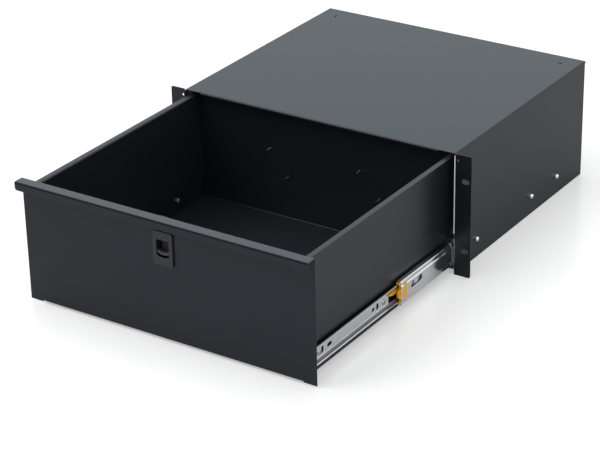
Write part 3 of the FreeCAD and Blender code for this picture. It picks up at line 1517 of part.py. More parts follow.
def latch_spring():
    """Coil spring under the bolt that pushes it up."""
    body = start_body("latch_spring")
    low = cavity_bottom + spring_wire / 2
    middle_y = (bolt_front + bolt_back) / 2
    wire = start_sketch(body, "spring_section", "XZ_Plane", (0, middle_y, low))
    circle(wire, spring_radius, 0, spring_wire / 2)
    coil = body.newObject("PartDesign::AdditiveHelix", "coil")
    coil.Profile = wire
    coil.ReferenceAxis = (wire, ["V_Axis"])
    coil.Mode = 1
    height = trigger_bottom - low - spring_wire / 2
    coil.setExpression("Height", height.text)
    coil.setExpression("Pitch", (height / spring_turns).text)
    coil.setExpression("Turns", spring_turns.text)
    body.Tip = coil
    DOCUMENT.recompute()
    return body


def latch_screws():
    """The four screws that hold the housing, driven from inside the drawer."""
    body = start_body("latch_screws")
    head = latch_screw
    for index, (across, up) in enumerate(latch_screw_places()):
        at = (across, wall_back, latch_z + up)
        profile = start_sketch(body, f"latch_screw_{index}", "XY_Plane", at)
        tip = -(front_sheet + tray_sheet)
        radius = latch_screw / 2
        outline(
            profile,
            [(0, tip), (radius, tip), (radius, 0), (head * 0.9, 0), (head * 0.6, head * 0.7), (0, head * 0.7)],
        )
        turn(body, profile, "V_Axis")
    return body


# ---------------------------------------------------------------- build, check and write


def build():
    """Builds every sub-part, right-hand slides first and then their twins."""
    cabinet_shell()
    rear_tie_bar()
    paired = [outer_slide(), middle_slide(), inner_slide()]
    outer_row = (outer_cage_front, outer_cage_length, outer_ball, outer_ball_at, outer_ball_v, OUTER_BALLS)
    inner_row = (inner_cage_front, inner_cage_length, inner_ball, inner_ball_at, inner_ball_v, INNER_BALLS)
    paired.append(cage("outer_ball_cage_right", outer_cage_section(), *outer_row))
    paired.append(cage("inner_ball_cage_right", inner_cage_section(), *inner_row))
    paired.append(balls("outer_balls_right", *outer_row))
    paired.append(balls("inner_balls_right", *inner_row))
    paired += [end_clip(), release_lever(), lever_rivet(), rear_bumper()]
    paired += [cabinet_slide_screws(), drawer_slide_screws(), drawer_slide_nuts(), drawer_side()]
    for piece in paired:
        opposite_hand(piece, piece.Label.replace("_right", "_left"))
    drawer_front()
    drawer_pan()
    cable_knockouts()
    front_studs()
    front_nuts()
    latch_housing()
    latch_back_plate()
    latch_bolt()
    latch_trigger()
    latch_spring()
    latch_screws()
    DOCUMENT.recompute()


def check():
    """Stops where an object failed or a sub-part has no sound solid."""
    for item in DOCUMENT.Objects:
        if "Invalid" in item.State or "Error" in item.State:
            raise RuntimeError(f"{item.Label} failed: {item.State}")
    for piece in PIECES:
        shape = piece.Shape
        if shape.isNull() or not shape.isValid() or not shape.Solids:
            raise RuntimeError(f"{piece.Label} has no sound solid")


def write():
    """Writes each sub-part to its own file."""
    os.makedirs("parts", exist_ok=True)
    for piece in PIECES:
        piece.Shape.exportStep(f"parts/{piece.Label}.step")


build()
check()
write()
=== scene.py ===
"""Looks of a sliding rack drawer: folded sheet steel, telescopic ball slides and a slam latch.

Metres. +X to the right seen from the front, +Y to the back, +Z up, as in the construction model.
"""

import json
import logging
import math
from dataclasses import dataclass, field, replace
from enum import Enum

import bpy
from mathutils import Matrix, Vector
from mathutils.bvhtree import BVHTree

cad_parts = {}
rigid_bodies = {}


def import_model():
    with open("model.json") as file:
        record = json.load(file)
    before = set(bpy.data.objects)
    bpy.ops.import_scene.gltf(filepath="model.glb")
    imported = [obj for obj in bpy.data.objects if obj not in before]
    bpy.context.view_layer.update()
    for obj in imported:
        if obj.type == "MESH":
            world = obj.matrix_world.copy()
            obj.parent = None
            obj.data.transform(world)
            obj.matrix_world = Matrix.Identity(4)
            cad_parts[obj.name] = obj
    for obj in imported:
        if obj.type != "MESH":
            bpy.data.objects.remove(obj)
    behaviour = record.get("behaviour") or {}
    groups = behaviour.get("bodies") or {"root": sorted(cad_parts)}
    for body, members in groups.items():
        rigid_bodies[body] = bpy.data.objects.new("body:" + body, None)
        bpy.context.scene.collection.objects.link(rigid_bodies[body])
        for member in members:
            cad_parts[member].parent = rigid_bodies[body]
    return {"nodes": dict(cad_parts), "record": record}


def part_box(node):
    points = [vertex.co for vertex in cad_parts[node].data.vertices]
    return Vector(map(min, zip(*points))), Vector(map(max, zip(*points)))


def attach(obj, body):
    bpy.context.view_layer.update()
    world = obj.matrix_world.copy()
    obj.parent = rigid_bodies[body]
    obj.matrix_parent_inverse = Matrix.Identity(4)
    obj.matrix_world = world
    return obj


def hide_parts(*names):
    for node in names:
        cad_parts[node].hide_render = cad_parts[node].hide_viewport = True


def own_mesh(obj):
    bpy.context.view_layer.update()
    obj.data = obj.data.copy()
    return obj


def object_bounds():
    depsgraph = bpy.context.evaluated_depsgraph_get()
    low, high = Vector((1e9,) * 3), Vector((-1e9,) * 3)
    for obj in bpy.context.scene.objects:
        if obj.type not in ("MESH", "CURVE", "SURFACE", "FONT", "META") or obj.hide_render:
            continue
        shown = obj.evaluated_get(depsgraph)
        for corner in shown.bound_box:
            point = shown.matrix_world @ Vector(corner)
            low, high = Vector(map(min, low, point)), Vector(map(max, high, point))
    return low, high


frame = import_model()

CAD_BOUNDS = [list(corner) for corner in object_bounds()]
LOG = logging.getLogger("rack_drawer")
MM = 0.001


class Hand(Enum):
    """The two sides of the drawer, as seen from the front."""

    RIGHT = "right"
    LEFT = "left"

    @property
    def word(self) -> str:
        """Word that ends this side's node names."""
        return self.value


@dataclass(frozen=True)
class Zone:
    """A soft-edged box in object coordinates where shade is painted: inside it the surface's colour
    and mirrored light are darker.

    Attributes:
        low: lower corner, in metres.
        high: upper corner, in metres.
        edge: width of the soft edge, in metres.
        mirror: share of the mirrored light that is left inside.
        color: share of the base colour that is left inside.
    """

    low: tuple[float, float, float]
    high: tuple[float, float, float]
    edge: float = 0.0006
    mirror: float = 0.2
    color: float = 0.2

    def mask(self, tree: bpy.types.NodeTree, place: bpy.types.NodeSocket) -> bpy.types.NodeSocket:
        """Builds the zone's mask.

        Args:
            tree: the material's node tree.
            place: object coordinates.

        Returns:
            A socket that is 1 inside the zone and 0 outside.
        """
        parts = tree.nodes.new("ShaderNodeSeparateXYZ")
        sideways = tree.nodes.new("ShaderNodeMath")
        sideways.operation = "ABSOLUTE"
        tree.links.new(place, parts.inputs["Vector"])
        tree.links.new(parts.outputs["X"], sideways.inputs[0])
        axes = (sideways.outputs["Value"], parts.outputs["Y"], parts.outputs["Z"])
        inside = None
        for axis, low, high in zip(axes, self.low, self.high):
            for start, way in ((low, 1.0), (high, -1.0)):
                ramp = tree.nodes.new("ShaderNodeMapRange")
                ramp.inputs["From Min"].default_value = start
                ramp.inputs["From Max"].default_value = start + way * self.edge
                tree.links.new(axis, ramp.inputs["Value"])
                inside = multiply(tree, inside, ramp.outputs["Result"])
        return inside


def multiply(
    tree: bpy.types.NodeTree,
    first: bpy.types.NodeSocket | None,
    second: bpy.types.NodeSocket,
) -> bpy.types.NodeSocket:
    """Multiplies two numbers in a node tree.

    Args:
        tree: the node tree.
        first: the first number, or none for the first factor of a chain.
        second: the second number.

    Returns:
        The product's socket.
    """
    if first is None:
        return second
    product = tree.nodes.new("ShaderNodeMath")
    product.operation = "MULTIPLY"
    tree.links.new(first, product.inputs[0])
    tree.links.new(second, product.inputs[1])
    return product.outputs["Value"]


class Grain(Enum):
    """How a finish's fine pattern lies on the surface."""

    SPECKLED = (1.0, 1.0, 1.0)
    DRAWN_ALONG_Y = (1.0, 0.02, 1.0)
    TURNED_ABOUT_X = (0.05, 1.0, 1.0)


# ---------------------------------------------------------------- finishes

SLOW_CELLS = 14.0  # cells per metre of the slow change of colour
SLOW_OCTAVES = 2.0  # octaves of that pattern
FINE_OCTAVES = 3.0  # octaves of the fine pattern
NOISE_LOW = 0.3  # noise level where a range starts
NOISE_HIGH = 0.7  # noise level where a range ends
# Surfaces that face up get a painted reflection of the sky in their colour.
UPWARD = 0.6  # upright part of the normal from which a surface counts as facing up
GLOW_DEPTHS = (0.004, 0.0018, 0.0004)  # how far red, green and blue light runs in the plastic
FULL_MIRROR = 0.5  # the shader's specular level for the finish's own index of refraction


@dataclass(frozen=True)
class Finish:
    """A procedural surface finish on Object coordinates.

    Attributes:
        name: material name.
        color: linear base colour.
        mottle: colour at the pale end of its slow variation.
        roughness: lowest and highest roughness.
        metallic: 1 for bare or plated metal.
        grain: how the fine pattern lies.
        grain_scale: pattern cells per metre.
        bump: height of the fine pattern, in metres.
        ior: index of refraction of the clear binder or plastic.
        tint: colour of the mirrored light.
        zones: zones of painted shade.
        sky: painted reflection of the sky, a colour added on surfaces that face up.
        translucency: share of light that glows through the body.
    """

    name: str
    color: tuple[float, float, float]
    mottle: tuple[float, float, float]
    roughness: tuple[float, float]
    metallic: float = 0.0
    grain: Grain = Grain.SPECKLED
    grain_scale: float = 900.0
    bump: float = 0.00004
    ior: float = 1.5
    tint: tuple[float, float, float] = (1.0, 1.0, 1.0)
    zones: tuple[Zone, ...] = ()
    sky: tuple[float, float, float] | None = None
    translucency: float = 0.0

    def material(self) -> bpy.types.Material:
        """Builds the finish once and returns it afterwards.

        Returns:
            The material with this finish's name.
        """
        known = bpy.data.materials.get(self.name)
        if known:
            return known
        material = bpy.data.materials.new(self.name)
        material.use_nodes = True
        tree = material.node_tree
        shader = tree.nodes["Principled BSDF"]
        shader.inputs["Metallic"].default_value = self.metallic
        shader.inputs["IOR"].default_value = self.ior
        shader.inputs["Specular Tint"].default_value = (*self.tint, 1.0)
        if self.translucency:
            shader.inputs["Subsurface Weight"].default_value = self.translucency
            shader.inputs["Subsurface Radius"].default_value = GLOW_DEPTHS
            shader.inputs["Subsurface Scale"].default_value = 1.0
        place = self._grain_vector(tree)
        fine = self._noise(tree, place, self.grain_scale, FINE_OCTAVES)
        slow = self._noise(tree, tree.nodes["Place"].outputs["Object"], SLOW_CELLS, SLOW_OCTAVES)
        self._connect_color(tree, slow, shader)
        self._connect_range(tree, fine, self.roughness, shader.inputs["Roughness"])
        bump = tree.nodes.new("ShaderNodeBump")
        bump.inputs["Strength"].default_value = 1.0
        bump.inputs["Distance"].default_value = self.bump
        tree.links.new(fine.outputs["Fac"], bump.inputs["Height"])
        tree.links.new(bump.outputs["Normal"], shader.inputs["Normal"])
        return material

    def _grain_vector(self, tree: bpy.types.NodeTree) -> bpy.types.NodeSocket:
        """Stretches Object coordinates along the grain.

        Args:
            tree: the material's node tree.

        Returns:
            The socket that holds the stretched place.
        """
        place = tree.nodes.new("ShaderNodeTexCoord")
        place.name = "Place"
        mapping = tree.nodes.new("ShaderNodeMapping")
        mapping.inputs["Scale"].default_value = self.grain.value
        tree.links.new(place.outputs["Object"], mapping.inputs["Vector"])
        return mapping.outputs["Vector"]

    def _noise(
        self, tree: bpy.types.NodeTree, place: bpy.types.NodeSocket, scale: float, detail: float
    ) -> bpy.types.Node:
        """Adds a noise pattern.

        Args:
            tree: the material's node tree.
            place: where the pattern is read.
            scale: cells per metre.
            detail: octaves of finer noise.

        Returns:
            The noise node.
        """
        noise = tree.nodes.new("ShaderNodeTexNoise")
        noise.inputs["Scale"].default_value = scale
        noise.inputs["Detail"].default_value = detail
        tree.links.new(place, noise.inputs["Vector"])
        return noise

    def _connect_color(
        self, tree: bpy.types.NodeTree, noise: bpy.types.Node, shader: bpy.types.Node
    ) -> None:
        """Runs the base colour between its two ends.

        Args:
            tree: the material's node tree.
            noise: the slow pattern.
            shader: the surface shader.
        """
        ramp = tree.nodes.new("ShaderNodeValToRGB")
        ramp.color_ramp.elements[0].position = NOISE_LOW
        ramp.color_ramp.elements[0].color = (*self.color, 1.0)
        ramp.color_ramp.elements[1].position = NOISE_HIGH
        ramp.color_ramp.elements[1].color = (*self.mottle, 1.0)
        tree.links.new(noise.outputs["Fac"], ramp.inputs["Fac"])
        color = ramp.outputs["Color"]
        # Painted reflection of the sky on surfaces that face up.
        if self.sky:
            color = self._add_sky(tree, color)
        # Painted shade: colour and mirrored light are darkened inside the zones.
        if self.zones:
            color = self._shade_zones(tree, color, shader)
        tree.links.new(color, shader.inputs["Base Color"])

    def _shade_zones(
        self, tree: bpy.types.NodeTree, color: bpy.types.NodeSocket, shader: bpy.types.Node
    ) -> bpy.types.NodeSocket:
        """Paints shade inside the zones: darkens the colour and the mirrored light there.

        Args:
            tree: the material's node tree.
            color: the base colour.
            shader: the surface shader.

        Returns:
            The darkened colour's socket.
        """
        mirror = None
        for zone in self.zones:
            mask = zone.mask(tree, tree.nodes["Place"].outputs["Object"])
            scaled = tree.nodes.new("ShaderNodeVectorMath")
            scaled.operation = "SCALE"
            tree.links.new(color, scaled.inputs[0])
            tree.links.new(self._fade(tree, mask, zone.color), scaled.inputs["Scale"])
            color = scaled.outputs["Vector"]
            mirror = multiply(tree, mirror, self._fade(tree, mask, zone.mirror))
        half = tree.nodes.new("ShaderNodeMath")
        half.operation = "MULTIPLY"
        half.inputs[1].default_value = FULL_MIRROR
        tree.links.new(mirror, half.inputs[0])
        tree.links.new(half.outputs["Value"], shader.inputs["Specular IOR Level"])
        if self.metallic:
            tree.links.new(mirror, shader.inputs["Metallic"])
        return color

    def _fade(
        self, tree: bpy.types.NodeTree, mask: bpy.types.NodeSocket, inside: float
    ) -> bpy.types.NodeSocket:
        """Turns a mask into a factor.

        Args:
            tree: the material's node tree.
            mask: 1 inside a zone and 0 outside.
            inside: the factor inside the zone.

        Returns:
            A socket that is 1 outside the zone and the factor inside.
        """
        factor = tree.nodes.new("ShaderNodeMapRange")
        factor.inputs["To Min"].default_value = 1.0
        factor.inputs["To Max"].default_value = inside
        tree.links.new(mask, factor.inputs["Value"])
        return factor.outputs["Result"]

    def _add_sky(
        self, tree: bpy.types.NodeTree, color: bpy.types.NodeSocket
    ) -> bpy.types.NodeSocket:
        """Paints a reflection of the sky into the colour of surfaces that face up.

        Args:
            tree: the material's node tree.
            color: the base colour.

        Returns:
            The sum's socket.
        """
        facing = tree.nodes.new("ShaderNodeNewGeometry")
        parts = tree.nodes.new("ShaderNodeSeparateXYZ")
        upward = tree.nodes.new("ShaderNodeMapRange")
        upward.inputs["From Min"].default_value = UPWARD
        tint = tree.nodes.new("ShaderNodeVectorMath")
        tint.operation = "SCALE"
        tint.inputs[0].default_value = self.sky
        total = tree.nodes.new("ShaderNodeVectorMath")
        total.operation = "ADD"
        tree.links.new(facing.outputs["Normal"], parts.inputs["Vector"])
        tree.links.new(parts.outputs["Z"], upward.inputs["Value"])
        tree.links.new(upward.outputs["Result"], tint.inputs["Scale"])
        tree.links.new(color, total.inputs[0])
        tree.links.new(tint.outputs["Vector"], total.inputs[1])
        return total.outputs["Vector"]

    def _connect_range(
        self,
        tree: bpy.types.NodeTree,
        noise: bpy.types.Node,
        ends: tuple[float, float],
        socket: bpy.types.NodeSocket,
    ) -> None:
        """Runs a number between two ends.

        Args:
            tree: the material's node tree.
            noise: the pattern that drives it.
            ends: lowest and highest value.
            socket: the shader's socket.
        """
        spread = tree.nodes.new("ShaderNodeMapRange")
        spread.inputs["From Min"].default_value = NOISE_LOW
        spread.inputs["From Max"].default_value = NOISE_HIGH
        spread.inputs["To Min"].default_value = ends[0]
        spread.inputs["To Max"].default_value = ends[1]
        tree.links.new(noise.outputs["Fac"], spread.inputs["Value"])
        tree.links.new(spread.outputs["Result"], socket)


# The sleeve's sky colour is a painted reflection of the sky on its top.
SLEEVE_PAINT = Finish(
    "sleeve powder coat, painted sky reflection",
    (0.0058, 0.0068, 0.0088),
    (0.0070, 0.0082, 0.0104),
    (0.30, 0.38),
    tint=(0.76, 0.81, 0.94),
    sky=(0.006, 0.0185, 0.0205),
)
DRAWER_PAINT = Finish(
    "drawer powder coat",
    (0.0108, 0.0113, 0.0146),
    (0.0122, 0.0129, 0.0164),
    (0.30, 0.38),
    tint=(0.61, 0.65, 0.755),
)
SLIDE_ZINC = Finish(
    "drawn zinc",
    (0.82, 0.83, 0.85),
    (0.90, 0.91, 0.93),
    (0.10, 0.19),
    metallic=1.0,
    grain=Grain.DRAWN_ALONG_Y,
    grain_scale=1500.0,
    bump=0.00001,
)


# Sizes of the painted shade on the inner member, on the drawer's side behind it and on the front's
# lip.
ZONE_PAST = 1.0 * MM  # how far a zone runs past its piece
ZONE_REACH = 20.0 * MM  # the same where nothing else lies beyond
WEB_SHEET = 0.8 * MM  # the inner member's web inward of its outermost face
LOWER_BEND = 4.1 * MM  # height of the inner member's lower bend
UPPER_BEND = 5.7 * MM  # height of its upper bend
MIDDLE_LAP = 1.5 * MM  # the middle member's front rim
SIDE_ABOVE = 1.3 * MM  # shaded side above the inner member
SIDE_BELOW = 0.9 * MM  # shaded side below the inner member
SIDE_DEPTH = 1.9 * MM  # shaded side outward of its inner face
LIP_HEIGHT = 3.0 * MM  # height of the bend along the front's pull lip
LIP_DEPTH = 1.6 * MM  # depth of that bend


def inner_zones() -> tuple[Zone, ...]:
    """Places painted shade on the inner member: along its two bends and on the part inside the
    middle.

    Returns:
        The zones.
    """
    low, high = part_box("inner_slide_right")
    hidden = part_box("middle_slide_right")[0].y + MIDDLE_LAP
    web = high.x - WEB_SHEET
    front = low.y - ZONE_REACH
    above = high.z + ZONE_PAST
    below = low.z - ZONE_PAST
    far = (high.x + ZONE_REACH, high.y + ZONE_REACH, above)
    return (
        Zone((0.0, front, below), (web, high.y, low.z + LOWER_BEND), 0.5 * MM, 0.2, 0.22),
        Zone((0.0, front, high.z - UPPER_BEND), (web, high.y, above), 0.4 * MM, 0.1, 0.08),
        Zone((0.0, hidden, below), far, 4.0 * MM, 0.02, 0.03),
    )


def side_zones() -> tuple[Zone, ...]:
    """Places painted shade on the strip of the drawer's side that lies behind the slide, so that
    the slide's slots show dark.

    Returns:
        The zone.
    """
    low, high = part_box("inner_slide_right")
    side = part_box("drawer_side_right")[0].x
    start = (side - 0.1 * MM, low.y - ZONE_REACH, low.z - SIDE_BELOW)
    end = (side + SIDE_DEPTH, high.y + ZONE_REACH, high.z + SIDE_ABOVE)
    return (Zone(start, end, 0.6 * MM, 0.1, 0.3),)


def lip_zones() -> tuple[Zone, ...]:
    """Places painted shade on the rounded bend along the top of the drawer's front, which dulls the
    bend's highlight.

    Returns:
        The zone.
    """
    low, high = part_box("drawer_front")
    start = (0.0, low.y - ZONE_PAST, high.z - LIP_HEIGHT)
    end = (high.x + ZONE_PAST, low.y + LIP_DEPTH, high.z + ZONE_PAST)
    return (Zone(start, end, 0.8 * MM, 0.3, 0.5),)


# The inner member's zinc carries painted shade along its bends and inside the middle member.
INNER_ZINC = replace(SLIDE_ZINC, name="drawn zinc, inner member, painted shade", zones=inner_zones())
# Painted shade on the side behind the slide; the side's coat also mirrors more light than the same
# coat on the pan and front, a painted sheen.
DRAWER_SIDE_PAINT = replace(
    DRAWER_PAINT,
    name="drawer side powder coat, painted shade and sheen",
    tint=(0.81, 0.86, 1.0),
    zones=side_zones(),
)
# The front's coat carries painted shade on the lip's bend and a painted reflection of the sky on
# faces that look up.
FRONT_PAINT = replace(
    DRAWER_PAINT, name="drawer front powder coat, painted shade and sky reflection", zones=lip_zones(), sky=(0.036, 0.043, 0.044)
)
CAGE_STEEL = Finish(
    "greased cage strip",
    (0.34, 0.34, 0.33),
    (0.42, 0.42, 0.40),
    (0.28, 0.42),
    metallic=1.0,
    grain=Grain.DRAWN_ALONG_Y,
    grain_scale=1200.0,
    bump=0.00001,
)
BALL_STEEL = Finish(
    "polished ball steel",
    (0.78, 0.78, 0.79),
    (0.86, 0.86, 0.87),
    (0.06, 0.12),
    metallic=1.0,
    grain_scale=400.0,
    bump=0.000002,
)
BRIGHT_NICKEL = Finish(
    "bright nickel plate",
    (0.70, 0.69, 0.67),
    (0.80, 0.79, 0.77),
    (0.12, 0.22),
    metallic=1.0,
    grain=Grain.TURNED_ABOUT_X,
    grain_scale=2200.0,
    bump=0.000004,
)
DULL_ZINC = Finish(
    "dull zinc plate",
    (0.46, 0.47, 0.48),
    (0.58, 0.58, 0.57),
    (0.30, 0.45),
    metallic=1.0,
    grain_scale=1600.0,
    bump=0.00001,
)
AMBER_ACETAL = Finish(
    "amber acetal",
    (1.0, 0.44, 0.012),
    (1.0, 0.54, 0.024),
    (0.22, 0.34),
    grain_scale=700.0,
    bump=0.00001,
    ior=1.48,
    translucency=0.35,
)
LATCH_NYLON = Finish(
    "black nylon",
    (0.016, 0.017, 0.020),
    (0.020, 0.021, 0.025),
    (0.36, 0.48),
    grain_scale=1800.0,
    bump=0.00002,
)
# The trigger is a lighter copy of the black nylon: painted light on its crescent, which shows lit
# through the latch's window.
TRIGGER_NYLON = replace(
    LATCH_NYLON, name="black nylon, trigger, painted light", color=(0.034, 0.035, 0.038), mottle=(0.042, 0.043, 0.046)
)
# The bolt is a darker copy of the black nylon with weaker mirrored light: painted shade for the
# bolt in the latch's cavity.
BOLT_NYLON = replace(
    LATCH_NYLON,
    name="black nylon, bolt, painted shade",
    color=(0.004, 0.004, 0.005),
    mottle=(0.006, 0.006, 0.007),
    tint=(0.4, 0.4, 0.42),
)
# The spring's near-black colour is painted shade, which hides its glints inside the latch.
SPRING_STEEL = replace(
    DULL_ZINC, name="spring steel, painted shade", color=(0.03, 0.03, 0.03), mottle=(0.05, 0.05, 0.05)
)
BUMPER_RUBBER = Finish(
    "matt rubber", (0.018, 0.018, 0.018), (0.026, 0.025, 0.024), (0.7, 0.85), grain_scale=500.0
)


# ---------------------------------------------------------------- shaping

WELD_REACH = 0.002 * MM  # points closer than this are one point
FLAT_ANGLE = math.radians(0.6)  # facets that differ less are one flat face
SHARP_ANGLE = math.radians(40.0)  # edges that differ more are rounded
SMOOTH_ANGLE = math.radians(35.0)  # edges that differ less are shaded smooth
STRAY_WIDTHS = 2.0  # a point this many widths off the node's surface is a stray


def select_only(piece: bpy.types.Object) -> None:
    """Selects one object and makes it active.

    Args:
        piece: the object.
    """
    bpy.ops.object.select_all(action="DESELECT")
    piece.select_set(True)
    bpy.context.view_layer.objects.active = piece


def body_of(node: str) -> str:
    """Finds the body that carries a node.

    Args:
        node: the node's name.

    Returns:
        The body's name.
    """
    bodies = frame["record"]["behaviour"]["bodies"]
    return next(body for body, nodes in bodies.items() if node in nodes)


def dress(node: str, finish: Finish) -> None:
    """Gives a node of the frame its finish.

    Args:
        node: the node's name.
        finish: the finish.
    """
    mesh = frame["nodes"][node].data
    mesh.materials.clear()
    mesh.materials.append(finish.material())


def copy_of(node: str, finish: Finish, ending: str) -> bpy.types.Object:
    """Copies a node of the frame and lets the copy stand for it on the same body.

    Args:
        node: the node's name.
        finish: the copy's finish.
        ending: end of the copy's name.

    Returns:
        The copy.
    """
    select_only(frame["nodes"][node])
    bpy.ops.object.duplicate()
    piece = bpy.context.view_layer.objects.active
    bpy.ops.object.parent_clear(type="CLEAR_KEEP_TRANSFORM")
    piece.name = f"{node}_{ending}"
    piece.data.materials.clear()
    piece.data.materials.append(finish.material())
    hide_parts(node)
    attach(piece, body_of(node))
    return piece


def keep_close(piece: bpy.types.Object, node: str, reach: float) -> None:
    """Puts points that a rounding threw off the sheet back on the node's surface.

    Args:
        piece: the rounded copy.
        node: the node's name.
        reach: distance that a rounded point may keep, in metres.
    """
    mesh = frame["nodes"][node].data
    points = [vertex.co for vertex in mesh.vertices]
    surface = BVHTree.FromPolygons(points, [list(face.vertices) for face in mesh.polygons])
    for vertex in piece.data.vertices:
        spot, _, _, distance = surface.find_nearest(vertex.co)
        if distance > reach:
            vertex.co = spot


def soften(node: str, finish: Finish, width: float, segments: int = 2) -> bpy.types.Object:
    """Copies a node, rounds its sheared edges and lets the copy stand for it.

    Args:
        node: the node's name.
        finish: the copy's finish.
        width: width of the rounding, in metres.
        segments: facets across the rounding.

    Returns:
        The rounded copy.
    """
    piece = copy_of(node, finish, "edges")
    bpy.ops.object.mode_set(mode="EDIT")
    bpy.ops.mesh.select_all(action="SELECT")
    bpy.ops.mesh.remove_doubles(threshold=WELD_REACH)
    bpy.ops.mesh.dissolve_limited(angle_limit=FLAT_ANGLE)
    bpy.ops.object.mode_set(mode="OBJECT")
    rounding = piece.modifiers.new("sheared edges", "BEVEL")
    rounding.width = width
    rounding.segments = segments
    rounding.limit_method = "ANGLE"
    rounding.angle_limit = SHARP_ANGLE
    rounding.use_clamp_overlap = False
    rounding.loop_slide = False
    bpy.ops.object.modifier_apply(modifier=rounding.name)
    keep_close(piece, node, STRAY_WIDTHS * width)
    bpy.ops.object.shade_smooth_by_angle(angle=SMOOTH_ANGLE)
    evening = piece.modifiers.new("even faces", "WEIGHTED_NORMAL")
    evening.keep_sharp = True
    evening.weight = 100
    bpy.ops.object.modifier_apply(modifier=evening.name)
    return piece


# ---------------------------------------------------------------- sub-assemblies


@dataclass
class Sleeve:
    """The fixed sleeve with its ears, tie bar and side screws.

    Attributes:
        edge: rounding of the sheared edges, in metres.
        pieces: the rounded copies.
    """

    edge: float = 0.30 * MM
    pieces: list[bpy.types.Object] = field(default_factory=list)

    def build(self) -> None:
        """Dresses the folded sheets and the screws on both sides."""
        for node in ("cabinet_shell", "rear_tie_bar"):
            self.pieces.append(soften(node, SLEEVE_PAINT, self.edge))
        for hand in Hand:
            dress(f"cabinet_slide_screws_{hand.word}", BRIGHT_NICKEL)
            dress(f"rear_bumper_{hand.word}", BUMPER_RUBBER)
        LOG.info("sleeve: %d folded sheets", len(self.pieces))


@dataclass
class TelescopicSlide:
    """One three-member ball slide with its cages, clip and release lever.

    Attributes:
        hand: the side of the drawer.
        edge: rounding of the members' edges, in metres.
        pieces: the rounded copies.
    """

    hand: Hand
    edge: float = 0.22 * MM
    pieces: list[bpy.types.Object] = field(default_factory=list)

    def build(self) -> None:
        """Dresses the members, balls, cages and plastic parts."""
        word = self.hand.word
        members = {"outer_slide": SLIDE_ZINC, "middle_slide": SLIDE_ZINC, "inner_slide": INNER_ZINC}
        for member, finish in members.items():
            self.pieces.append(soften(f"{member}_{word}", finish, self.edge))
        for layer in ("outer", "inner"):
            dress(f"{layer}_ball_cage_{word}", CAGE_STEEL)
            dress(f"{layer}_balls_{word}", BALL_STEEL)
        dress(f"end_clip_{word}", AMBER_ACETAL)
        dress(f"release_lever_{word}", AMBER_ACETAL)
        dress(f"lever_rivet_{word}", DULL_ZINC)
        dress(f"drawer_slide_screws_{word}", DULL_ZINC)
        dress(f"drawer_slide_nuts_{word}", DULL_ZINC)
        LOG.info("%s slide: %d members", word, len(self.pieces))


@dataclass
class Tray:
    """The drawer's folded tray and its front.

    Attributes:
        edge: rounding of the tray's sheared edges, in metres.
        front_edge: rounding of the front's edges, in metres.
        pieces: the rounded copies.
    """

    edge: float = 0.25 * MM
    front_edge: float = 0.32 * MM
    pieces: list[bpy.types.Object] = field(default_factory=list)

    def build(self) -> None:
        """Dresses the pan, the sides, the knockouts and the front."""
        self.pieces.append(soften("drawer_pan", DRAWER_PAINT, self.edge))
        for hand in Hand:
            self.pieces.append(soften(f"drawer_side_{hand.word}", DRAWER_SIDE_PAINT, self.edge))
        self.pieces.append(soften("drawer_front", FRONT_PAINT, self.front_edge, 3))
        dress("cable_knockouts", DRAWER_PAINT)
        dress("front_studs", DULL_ZINC)
        dress("front_nuts", DULL_ZINC)
        LOG.info("tray: %d folded sheets", len(self.pieces))


@dataclass
class SlamLatch:
    """The latch in the drawer front.

    Attributes:
        edge: rounding of the mouldings' edges, in metres.
        pieces: the rounded copies.
    """

    edge: float = 0.35 * MM
    pieces: list[bpy.types.Object] = field(default_factory=list)

    def build(self) -> None:
        """Dresses the housing, trigger, bolt, spring and screws."""
        self.pieces.append(soften("latch_housing", LATCH_NYLON, self.edge, 3))
        self.pieces.append(soften("latch_trigger", TRIGGER_NYLON, self.edge, 3))
        dress("latch_back_plate", LATCH_NYLON)
        dress("latch_bolt", BOLT_NYLON)
        self._add_spring()
        dress("latch_screws", DULL_ZINC)
        LOG.info("slam latch: %d moulded pieces", len(self.pieces))

    def _add_spring(self) -> None:
        """Copies the spring and gives the copy a mesh of its own. In the latch the bolt presses the
        spring flatter as it comes down; the copy keeps its shape.
        """
        spring = copy_of("latch_spring", SPRING_STEEL, "coil")
        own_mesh(spring)


# ---------------------------------------------------------------- studio


@dataclass(frozen=True)
class Lamp:
    """A soft square lamp that shines at the object's middle.

    Attributes:
        name: the lamp's name.
        place: where it stands, in metres.
        size: its edge, in metres.
        power: its power in watts.
    """

    name: str
    place: tuple[float, float, float]
    size: float
    power: float

    def add(self) -> None:
        """Puts the lamp into the scene."""
        light = bpy.data.lights.new(self.name, "AREA")
        light.shape = "SQUARE"
        light.size = self.size
        light.energy = self.power
        lamp = bpy.data.objects.new(self.name, light)
        lamp.location = self.place
        lamp.rotation_euler = (-Vector(self.place)).to_track_quat("-Z", "Y").to_euler()
        bpy.context.scene.collection.objects.link(lamp)


